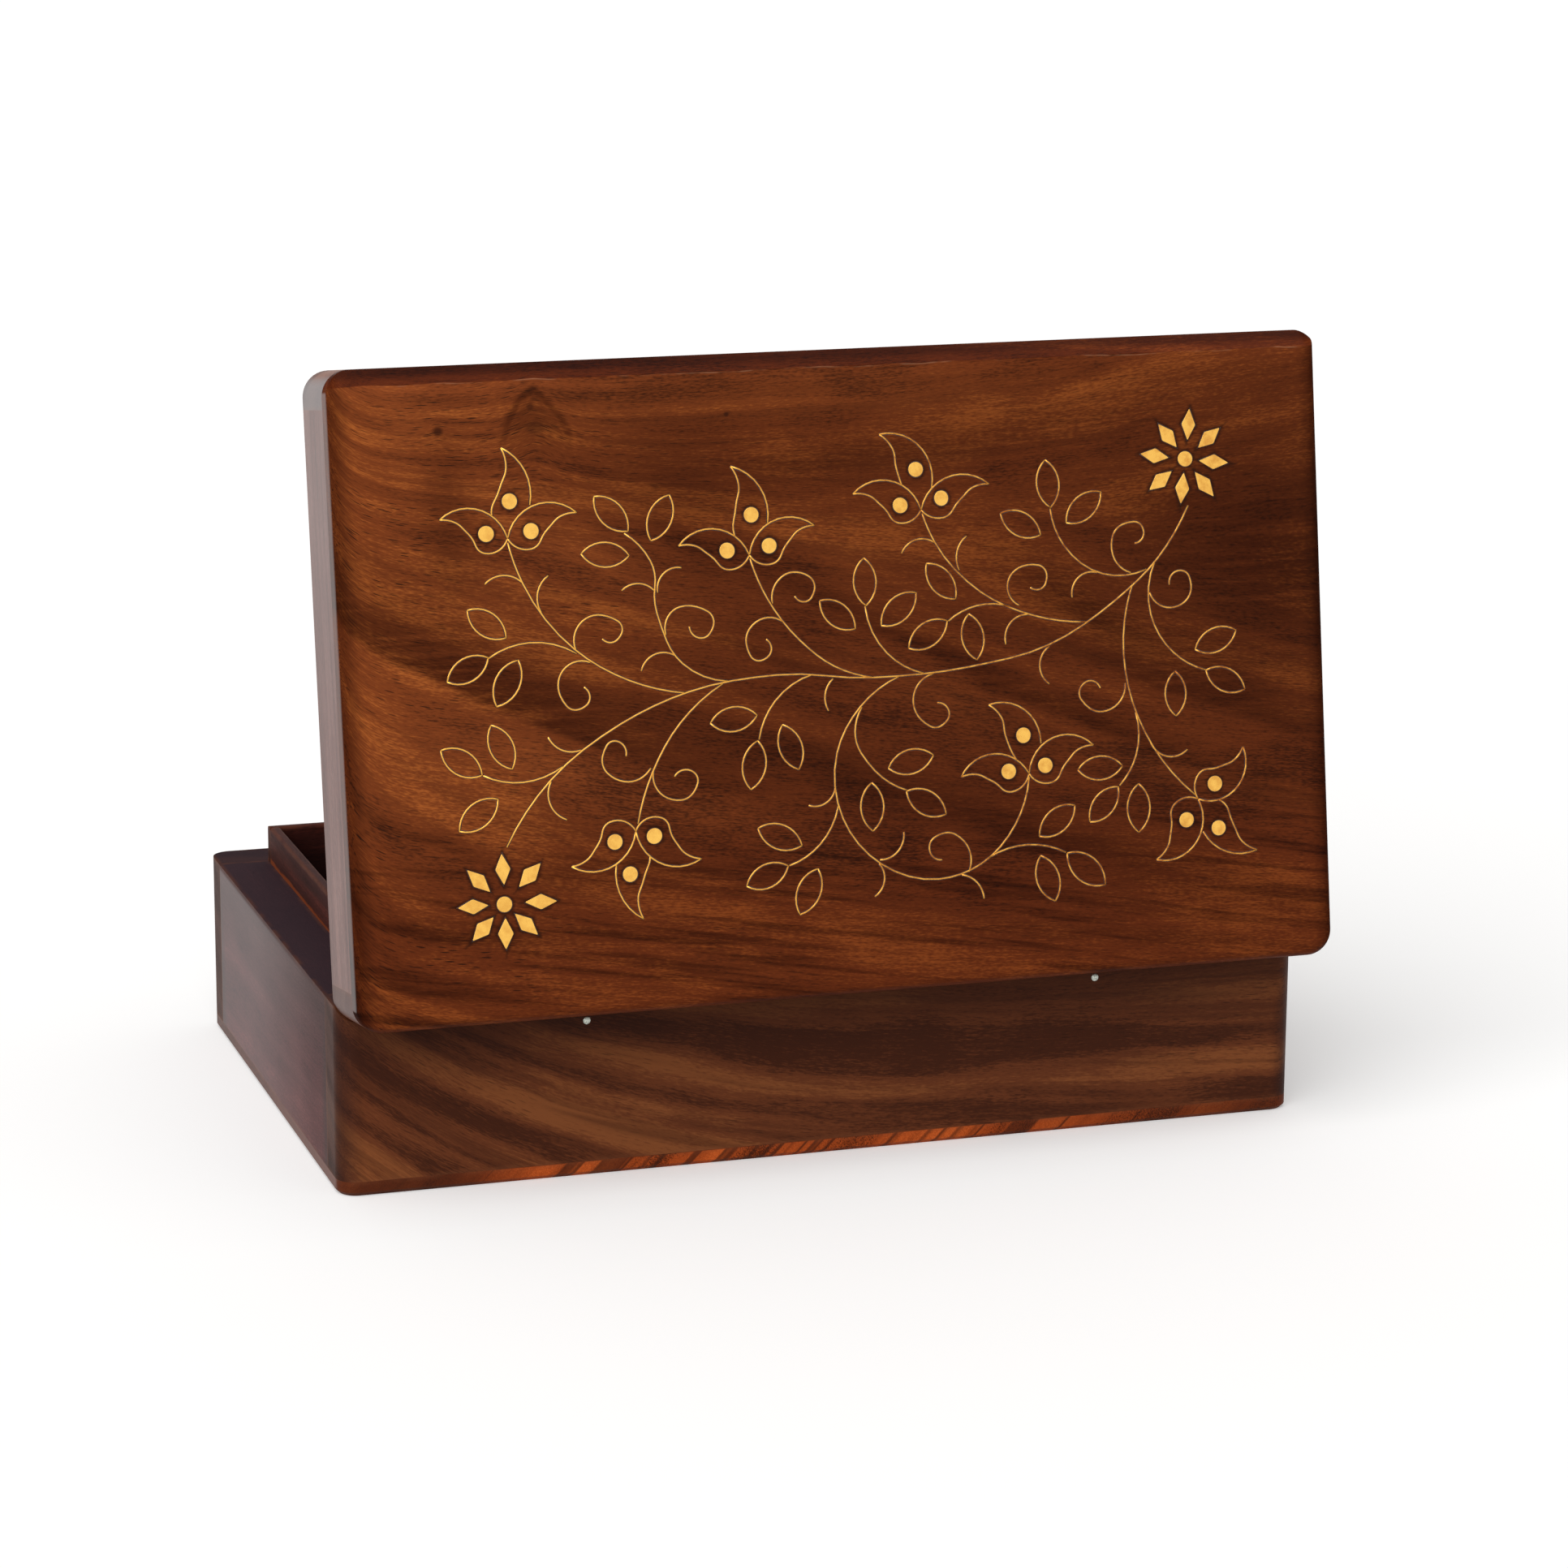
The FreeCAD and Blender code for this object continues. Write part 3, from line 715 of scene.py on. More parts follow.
def until(chain: Iterable[Arc], hidden: Callable[[Vector], bool], parts: int = 24) -> list[Arc]:
    """The part of a chain before it first goes out of sight.

    Args:
        chain: The arcs, in order.
        hidden: Says whether a point is out of sight.
        parts: How many places are looked at on each arc.

    Returns:
        The arcs that are left, the last one shortened.
    """
    kept: list[Arc] = []
    for arc in chain:
        first = next((index for index in range(1, parts + 1) if hidden(arc.at(index / parts))), None)
        if first is None:
            kept.append(arc)
            continue
        if first > 1:
            kept.append(Arc(arc.start, arc.heading, arc.at((first - 1) / parts)))
        break
    return kept


@dataclass(frozen=True)
class Flower:
    """A three-petalled flower: its foot, its tips, how far each petal's two sides bow, and its dots."""

    foot: Point
    tips: tuple[Point, ...]
    bows: tuple[Point, ...]
    dots: tuple[Point, ...]
    belly_place: float = 0.26
    waist_place: float = 0.56
    waist_share: float = 0.28
    hollow_place: float = 0.78
    usual_belly: float = 0.24
    usual_hollow: float = 0.03
    hollow_gain: float = 0.15

    def sides(self, tip: Point, bows: Point) -> list[list[Arc]]:
        """The two sides of a petal.

        Args:
            tip: The petal's tip.
            bows: How far the plain side and the bellied side bow out, as shares of the length.

        Returns:
            The arcs of the plain side and of the bellied side, each from the foot to the tip.
        """
        start, end = flat(self.foot), flat(tip)
        along = end - start
        plain, belly = bows
        side = left_of(along) * math.copysign(1, plain)
        hollow = self.usual_hollow + (self.usual_belly - belly) * self.hollow_gain
        places = ((self.belly_place, -belly), (self.waist_place, -belly * self.waist_share),
                  (self.hollow_place, hollow))
        through = [start + along * share + side * height for share, height in places]
        return [[bowed(start, end, plain * along.length)], arcs_through([start, *through, end])]

    def wires(self) -> list[list[Arc]]:
        """The wires of the flower. The last petal is behind the others, which hide part of it.

        Returns:
            A chain of arcs for each side of each petal.
        """
        petals = [self.sides(tip, bows) for tip, bows in zip(self.tips, self.bows)]
        outlines = [corners_of(plain + run_back(bellied)) for plain, bellied in petals[:-1]]

        def hidden(point: Vector) -> bool:
            """Whether a petal in front covers a point."""
            return any(encloses(outline, point) for outline in outlines)

        behind = [until(run_back(side), hidden) for side in petals[-1]]
        return [side for petal in petals[:-1] for side in petal] + behind


@dataclass(frozen=True)
class Rosette:
    """A ring of lozenges round a dot: its middle, its turn in degrees and how far out each lozenge is."""

    middle: Point
    turn: float
    spread: tuple[float, ...]

    def places(self) -> list[tuple[Vector, float]]:
        """The middle and the angle of each lozenge.

        Returns:
            A place and an angle in radians for each.
        """
        found = []
        for index, distance in enumerate(self.spread):
            angle = math.radians(self.turn) + 2 * math.pi * index / len(self.spread)
            outwards = Vector((math.cos(angle), math.sin(angle), 0.0))
            found.append((flat(self.middle) + outwards * distance, angle))
        return found


@dataclass(frozen=True)
class VineDrawing:
    """The flowering vine of the lid, in millimetres from the middle of the panel."""

    stem: tuple[Point, ...] = (
        (-70.8, -29.3), (-61.5, -17.0), (-47.0, -7.0), (-33.0, -1.6), (-15.0, 0.6), (5.0, -1.1),
        (25.0, -0.2), (42.0, 3.2), (56.0, 10.9), (66.0, 19.3), (72.8, 29.4))
    branches: tuple[tuple[Point, ...], ...] = (
        ((-67.8, 29.2), (-65.2, 21.2), (-55.5, 8.0), (-45.0, 1.4), (-33.5, -1.8)),
        ((-44.6, 29.8), (-39.6, 24.3), (-38.7, 14.0), (-34.0, 4.0), (-25.0, 0.0)),
        ((-72.6, 7.3), (-64.5, 9.8), (-55.2, 7.2)),
        ((-19.4, 23.6), (-16.2, 15.6), (-10.0, 7.2), (-3.0, 1.6), (5.0, -1.1)),
        ((3.8, 13.0), (8.0, 3.5), (15.5, -0.9)),
        ((16.4, 30.6), (18.7, 25.0), (28.0, 14.5), (39.0, 9.2), (50.0, 7.3)),
        ((21.0, 9.1), (27.0, 11.8), (34.0, 11.3)),
        ((43.3, 30.2), (46.0, 22.7), (54.0, 16.7), (63.4, 17.1)),
        ((75.4, -3.8), (68.5, 0.2), (64.0, 8.0), (65.3, 18.7)),
        ((72.2, -28.8), (63.5, -18.5), (58.6, -6.0), (58.3, 7.0), (60.3, 14.3)),
        ((56.0, -25.9), (59.8, -20.0), (60.0, -11.4)),
        ((-74.8, -15.2), (-67.0, -17.0), (-58.8, -14.4)),
        ((-44.4, -26.6), (-41.0, -16.8), (-35.0, -7.6), (-26.0, -0.4)),
        ((-19.1, -11.8), (-15.5, -4.5), (-7.5, 0.3)),
        ((36.8, -22.9), (33.5, -32.2), (26.0, -39.5), (17.0, -41.9), (5.0, -38.0), (-2.5, -28.5),
         (-3.2, -15.5), (2.0, -6.7), (10.5, -1.1)),
        ((11.0, -23.8), (4.5, -19.5), (0.7, -11.5), (2.3, -6.8)),
        ((-14.0, -37.0), (-7.5, -33.3), (-3.4, -26.0)),
        ((44.0, -38.5), (36.0, -36.4), (27.6, -38.4)))
    curls: tuple[tuple[Point, ...], ...] = (
        ((-55.3, 7.8), (-54.3, 12.8), (-49.8, 14.3), (-46.0, 10.5), (-48.4, 8.9), (-49.9, 9.7)),
        ((-52.5, 5.3), (-57.5, 4.6), (-58.8, -0.8), (-55.6, -3.7), (-52.9, -1.2), (-54.0, 0.6)),
        ((-37.1, 9.7), (-36.0, 13.9), (-31.8, 15.1), (-27.4, 11.0), (-29.8, 8.7), (-32.3, 11.1)),
        ((-15.2, 14.6), (-14.0, 18.9), (-10.8, 20.5), (-6.5, 16.7), (-8.4, 14.6), (-10.6, 15.8)),
        ((-13.2, 10.9), (-17.9, 11.6), (-20.9, 7.2), (-18.1, 3.6), (-15.8, 6.0), (-16.8, 7.7)),
        ((36.0, 11.4), (33.7, 15.5), (37.0, 19.1), (42.1, 17.0), (40.7, 14.4), (38.5, 14.8)),
        ((60.0, 16.6), (56.3, 20.3), (58.6, 26.3), (62.8, 25.6), (62.9, 23.6), (61.0, 22.4)),
        ((63.9, 12.4), (67.5, 9.2), (72.9, 13.4), (71.4, 16.3), (69.0, 15.9), (68.2, 13.7)),
        ((-41.3, -15.9), (-46.8, -18.2), (-50.9, -13.0), (-48.2, -10.2), (-46.5, -11.3), (-46.2, -13.3)),
        ((-40.7, -16.0), (-38.2, -22.0), (-33.0, -21.4), (-32.3, -17.7), (-34.4, -16.7), (-36.6, -17.9)),
        ((17.4, -1.1), (13.2, -5.0), (14.5, -10.0), (18.5, -11.6), (20.4, -8.6), (18.0, -6.9)),
        ((23.3, -40.9), (22.6, -34.8), (18.6, -32.8), (15.2, -35.6), (15.9, -37.4), (17.8, -38.1)),
        ((58.0, -5.4), (55.6, -10.0), (50.2, -10.0), (48.4, -5.8), (50.6, -4.5), (52.6, -6.1)))
    hooks: tuple[tuple[Point, ...], ...] = (
        ((-65.3, 21.4), (-69.0, 23.0), (-72.7, 21.5)), ((-61.8, 15.4), (-62.3, 19.5), (-60.1, 22.5)),
        ((-39.0, 18.4), (-42.5, 20.0), (-45.6, 18.8)), ((-38.4, 18.0), (-37.2, 21.5), (-33.4, 22.6)),
        ((-35.4, 5.6), (-39.2, 6.2), (-42.4, 3.0)), ((18.8, 24.7), (15.5, 25.6), (11.8, 23.0)),
        ((23.7, 19.0), (23.4, 22.8), (25.5, 25.7)), ((52.8, 17.0), (49.0, 16.4), (47.3, 12.3)),
        ((37.8, 9.5), (34.2, 8.2), (32.9, 3.8)), ((42.1, 2.9), (39.9, -0.8), (41.8, -4.6)),
        ((-55.1, -11.5), (-58.7, -11.4), (-61.6, -8.6)), ((-61.4, -17.2), (-61.9, -21.3), (-58.6, -24.8)),
        ((-3.4, -0.8), (-5.2, -4.0), (-4.6, -7.1)), ((-3.8, -22.0), (-5.6, -25.0), (-9.5, -25.4)),
        ((4.8, -37.2), (8.7, -35.7), (10.0, -32.0)), ((4.6, -37.9), (5.6, -41.2), (3.4, -44.4)),
        ((21.8, -41.4), (25.0, -43.2), (26.3, -46.5)), ((62.9, -17.3), (66.4, -20.7), (70.9, -19.6)))
    leaves: tuple[tuple[Point, Point], ...] = (
        ((-43.8, 30.2), (-50.3, 37.2)), ((-39.3, 28.1), (-35.2, 36.8)), ((-43.8, 25.5), (-53.4, 26.3)),
        ((-69.0, 11.0), (-76.4, 16.7)), ((-72.7, 7.4), (-81.0, 3.2)), ((-66.8, 6.6), (-71.5, -2.1)),
        ((1.6, 8.7), (-5.5, 14.6)), ((4.0, 13.1), (3.9, 22.5)), ((7.0, 9.0), (14.5, 15.1)),
        ((22.7, 13.4), (16.9, 20.7)), ((20.8, 9.2), (12.5, 4.2)), ((25.3, 10.3), (26.7, 1.1)),
        ((41.1, 25.1), (32.8, 29.8)), ((43.4, 30.4), (42.6, 39.9)), ((46.6, 27.2), (54.2, 33.0)),
        ((73.3, 0.4), (82.3, 3.8)), ((75.5, -3.9), (83.8, -8.2)), ((68.8, -3.7), (68.7, -12.7)),
        ((-75.0, -15.1), (-82.9, -9.8)), ((-69.0, -14.3), (-72.8, -5.6)), ((-72.1, -19.9), (-80.0, -25.6)),
        ((-19.3, -7.0), (-28.9, -8.0)), ((-19.4, -12.0), (-21.2, -21.5)), ((-14.2, -9.2), (-11.2, -18.2)),
        ((7.3, -19.2), (16.8, -17.2)), ((10.9, -24.0), (19.0, -29.1)), ((3.7, -21.8), (3.6, -31.4)),
        ((-11.2, -33.2), (-20.1, -29.2)), ((-14.2, -37.0), (-22.9, -40.4)), ((-8.1, -38.0), (-12.2, -46.8)),
        ((56.8, -22.0), (47.2, -22.2)), ((55.7, -26.1), (49.4, -32.8)), ((60.1, -25.8), (59.8, -35.6)),
        ((38.5, -34.9), (46.3, -29.2)), ((44.3, -38.7), (52.2, -45.6)), ((38.6, -38.8), (41.4, -48.1)))
    flowers: tuple[Flower, ...] = (
        Flower((-67.8, 30.0), ((-81.0, 34.2), (-53.9, 34.3), (-68.3, 47.4)),
               ((-0.28, 0.28), (0.29, 0.24), (-0.30, 0.16)), ((-72.0, 31.1), (-63.1, 31.2), (-67.1, 37.1))),
        Flower((-19.5, 24.3), ((-33.8, 26.8), (-6.0, 29.4), (-22.6, 41.7)),
               ((-0.29, 0.23), (0.29, 0.24), (-0.32, 0.12)), ((-24.0, 25.4), (-15.4, 25.9), (-18.8, 32.1))),
        Flower((16.2, 31.3), ((2.2, 35.1), (30.6, 35.7), (8.1, 46.5)),
               ((-0.29, 0.24), (0.28, 0.20), (-0.37, 0.06)), ((11.9, 32.4), (20.5, 33.4), (15.4, 39.3))),
        Flower((36.8, -22.2), ((22.4, -22.0), (50.7, -17.4), (28.8, -8.0)),
               ((-0.30, 0.24), (0.32, 0.24), (-0.40, 0.05)), ((32.5, -21.5), (40.3, -20.8), (35.9, -14.5))),
        Flower((72.9, -29.8), ((83.0, -19.8), (63.4, -41.4), (85.3, -40.9)),
               ((-0.33, 0.24), (0.33, 0.24), (-0.30, 0.17)), ((76.6, -26.9), (70.2, -33.8), (77.1, -35.9))),
        Flower((-44.9, -28.0), ((-58.1, -34.0), (-31.9, -34.3), (-44.1, -45.2)),
               ((0.27, 0.28), (-0.27, 0.30), (-0.28, 0.14)),
               ((-49.2, -29.8), (-41.2, -29.2), (-46.4, -36.3))))
    rear_rosette: Rosette = Rosette((-71.8, -40.3), 0.0, (7.3, 7.5, 6.8, 6.9, 6.2, 6.3, 5.7, 5.9))
    front_rosette: Rosette = Rosette((72.5, 38.7), -8.0, (6.2, 6.6, 6.9, 6.0, 6.6, 6.8, 5.9, 6.6))
    leaf_fullness: float = 0.25

    def lines(self, drawn: Iterable[Sequence[Point]]) -> list[list[Arc]]:
        """Smooth wires through drawn points."""
        return [arcs_through([flat(point) for point in points]) for points in drawn]

    def leaf_wires(self) -> list[list[Arc]]:
        """The two sides of every leaf.

        Returns:
            A chain of one arc for each side.
        """
        wires = []
        for foot, tip in self.leaves:
            start, end = flat(foot), flat(tip)
            height = self.leaf_fullness * (end - start).length
            wires += [[bowed(start, end, height)], [bowed(end, start, height)]]
        return wires

    def dots(self) -> list[Point]:
        """The middles of the flowers' dots."""
        return [point for flower in self.flowers for point in flower.dots]

    def spots(self) -> list[Point]:
        """The middles of all dots, the rosettes' too."""
        return [*self.dots(), self.rear_rosette.middle, self.front_rosette.middle]

    def lozenges(self) -> list[tuple[Vector, float]]:
        """The middle and the angle of every lozenge."""
        return self.rear_rosette.places() + self.front_rosette.places()


def new_material(name: str) -> tuple[Material, NodeBench, Node]:
    """Start a material.

    Args:
        name: Its name.

    Returns:
        The material, the bench of its nodes and its Principled shader.
    """
    made = bpy.data.materials.new(name)
    made.use_nodes = True
    return made, NodeBench(made.node_tree), made.node_tree.nodes["Principled BSDF"]


def add_relief(bench: NodeBench, shader: Node, height: Signal, strength: float, depth: float) -> None:
    """Give a shader fine relief.

    Args:
        bench: The bench of the material.
        shader: The shader whose normal is turned.
        height: The relief, from 0 to 1.
        strength: How strongly it shows.
        depth: How deep it is, in millimetres.
    """
    relief = {"Strength": strength, "Distance": depth * MILLIMETRE, "Height": height}
    bump = bench.fed(bench.node("ShaderNodeBump"), relief)
    bench.feed(shader.inputs["Normal"], bump["Normal"])


def dress_node(name: str, material: Material) -> None:
    """Put a material on a CAD node.

    Args:
        name: The node's name.
        material: The material.
    """
    materials = frame["nodes"][name].data.materials
    materials.clear()
    materials.append(material)
    LOG.info("dressed %s in %s", name, material.name)


@dataclass(frozen=True)
class BrassFinish:
    """Hammered and filed metal, which may be duller and darker towards the hinge's -X end: partly patina,
    partly painted shade.
    """

    name: str
    bright: Colour
    dull: Colour
    dullness: float
    gloss: float
    far_dullness_and_shade: float | None = None
    far_end: Point = (-75.0, 40.0)
    relief: Point = (0.25, 0.03)

    def material(self, effects: Effects) -> Material:
        """Make the finish.

        Args:
            effects: The shared node groups.

        Returns:
            The material.
        """
        made, bench, shader = new_material(self.name)
        place = bench.places()
        dullness: Feed = self.dullness
        if self.far_dullness_and_shade is not None:
            # duller and darker towards -X: partly patina, partly painted shade following the lid's light
            dullness = place.split()[0].ease(*self.far_end, self.far_dullness_and_shade, self.dullness)
        patina = bench.group(effects.patina, place=place, bright=self.bright, dull=self.dull,
                             dullness=dullness, gloss=self.gloss)
        bench.fed(shader, {"Metallic": 1.0, "Base Color": patina["colour"],
                           "Roughness": patina["roughness"]})
        add_relief(bench, shader, patina["height"], *self.relief)
        return made


@dataclass(frozen=True)
class SpeckledFinish:
    """A plain finish with specks of a second colour, which are also rougher."""

    name: str
    plain: Colour
    specks: Colour
    speck_size: float
    shift: Triple
    smoothest: float
    roughening: float
    metallic: float = 0.0

    def material(self) -> Material:
        """Make the finish.

        Returns:
            The material.
        """
        made, bench, shader = new_material(self.name)
        uneven = bench.places().noise((1 / self.speck_size,) * 3, self.shift, 3.0, 0.6)
        bench.fed(shader, {"Base Color": bench.mix(uneven.ease(0.35, 0.7), self.plain, self.specks),
                           "Metallic": self.metallic,
                           "Roughness": uneven * self.roughening + self.smoothest})
        return made


@dataclass(frozen=True)
class WoodTones:
    """The colours of a board, from its light bands to its open pores."""

    light: Colour
    middle: Colour
    dark: Colour
    pore: Colour


@dataclass(frozen=True)
class GrainFlow:
    """How a board's rings run, in millimetres."""

    start: float = -101.6
    bend: float = 0.0
    bend_reach: float = 60.0
    fan: float = 0.0
    fan_middle: float = 0.0
    fan_tilt: float = 0.0
    fan_width: float = 30.0
    low_fan: float = 0.0
    low_middle: float = 0.0
    low_width: float = 30.0
    pivot: float = 0.0
    slope: float = 0.0
    rake: float = 0.35
    wander: float = 9.0
    follow: float = 1.0


@dataclass(frozen=True)
class Knot:
    """A knot of the lid panel, in the drawing's millimetres."""

    place: Point
    reach: float
    lift: float
    heart: Point
    darkness: float


@dataclass(frozen=True)
class Streak:
    """A dark or light streak of the lid panel, in the drawing's millimetres, and how soft its sides are."""

    place: Point
    slope: float
    curve: float
    half_length: float
    above: float
    below: float
    strength: float


@dataclass(frozen=True)
class WoodFinish:
    """Oiled rosewood, as one board shows it."""

    name: str
    tones: WoodTones
    lay: GrainLay
    flow: GrainFlow
    band_width: float = 11.0
    banding: float = 0.9
    pores: float = 0.7
    seed: float = 0.0
    roughness: float = 0.42
    sheen_level: float = 0.2
    worn_width: float = 1.1
    wear: float = 0.3
    worn_tone: Colour = tone(120, 70, 44)
    polish: float = 0.0
    coat_roughness: float = 0.4
    tone_gloss: float = 0.1
    relief: Point = (0.35, 0.06)

    def shift(self) -> Triple:
        """Where in the endless noise this board is cut from."""
        return 17.3 * self.seed, 5.9 * self.seed, 11.7 * self.seed

    def grain(self, bench: NodeBench, effects: Effects, board: Signal, pores: Feed) -> dict[str, Signal]:
        """Place the grain groups.

        Args:
            bench: The bench of the material.
            effects: The shared node groups.
            board: Places in the board's own directions.
            pores: How strongly the open pores show.

        Returns:
            The colour, the height and the tone of the grain.
        """
        flow = bench.group(effects.flow, board=board, shift=self.shift(), **asdict(self.flow))
        return bench.group(effects.rosewood, **flow, **asdict(self.tones), shift=self.shift(),
                           band_width=self.band_width, banding=self.banding, pores=pores)


@dataclass
class WoodBoard:
    """A wooden CAD node and its finish. The closing turn is for boards of the lid."""

    node: str
    finish: WoodFinish
    effects: Effects
    closing: Matrix = field(default_factory=lambda: Matrix.Identity(4))

    def __post_init__(self) -> None:
        """Measure the board in its own directions and start its material."""
        self.to_board = Matrix(self.finish.lay.value).to_4x4() @ self.closing
        vertices = frame["nodes"][self.node].data.vertices
        corners = list(zip(*(self.to_board @ (vertex.co / MILLIMETRE) for vertex in vertices)))
        low, high = (Vector([pick(values) for values in corners]) for pick in (min, max))
        self.middle = (low + high) / 2
        self.half_size = (high - low) / 2
        self.top = high.z
        self.made, self.bench, self.shader = new_material(self.finish.name + "_" + self.node)

    def board_places(self) -> Signal:
        """Places on the board in its own directions, in millimetres.

        Returns:
            The places.
        """
        mapping = self.bench.node("ShaderNodeMapping", vector_type="POINT")
        turned = {"Vector": self.bench.places(), "Location": self.to_board.translation,
                  "Rotation": self.to_board.to_euler("XYZ")}
        return self.bench.fed(mapping, turned)["Vector"]

    def inset(self, board: Signal, axis: int) -> Signal:
        """How far a place is inside the board's nearer end in one of its directions, in millimetres."""
        return self.half_size[axis] - abs(board.split()[axis])

    def grain_places(self, board: Signal) -> Signal:
        """Places as the rings see them. A plain board changes nothing."""
        return board

    def coloured(self, board: Signal, colour: Signal) -> Signal:
        """The board's colour with its own marks. A plain board adds none."""
        return colour

    def roughened(self, board: Signal, rough: Signal) -> Signal:
        """The board's roughness with its own marks. A plain board adds none."""
        return rough

    def polished(self, board: Signal) -> Feed:
        """How much polish lies on the board. A plain board has the same all over."""
        return self.finish.polish

    def open_pores(self, board: Signal) -> Feed:
        """How strongly the pores show. On a plain board it is the same all over."""
        return self.finish.pores

    def dress(self) -> None:
        """Build the material and put it on the CAD node."""
        bench = self.bench
        finish = self.finish
        board = self.board_places()
        wood = finish.grain(bench, self.effects, self.grain_places(board), self.open_pores(board))
        worn = bench.group(self.effects.wear, place=board.vector("SUBTRACT", self.middle),
                           half_size=self.half_size, width=finish.worn_width, shift=finish.shift())
        marked = self.coloured(board, wood["colour"])
        rough = wood["tone"] * -finish.tone_gloss + (finish.roughness + finish.tone_gloss / 2)
        bench.fed(self.shader, {"Base Color": marked.mixed(finish.worn_tone, worn["mask"] * finish.wear),
                                "Roughness": self.roughened(board, rough),
                                "Specular IOR Level": finish.sheen_level,
                                "Coat Roughness": finish.coat_roughness,
                                "Coat Weight": self.polished(board)})
        add_relief(bench, self.shader, wood["height"], *finish.relief)
        dress_node(self.node, self.made)


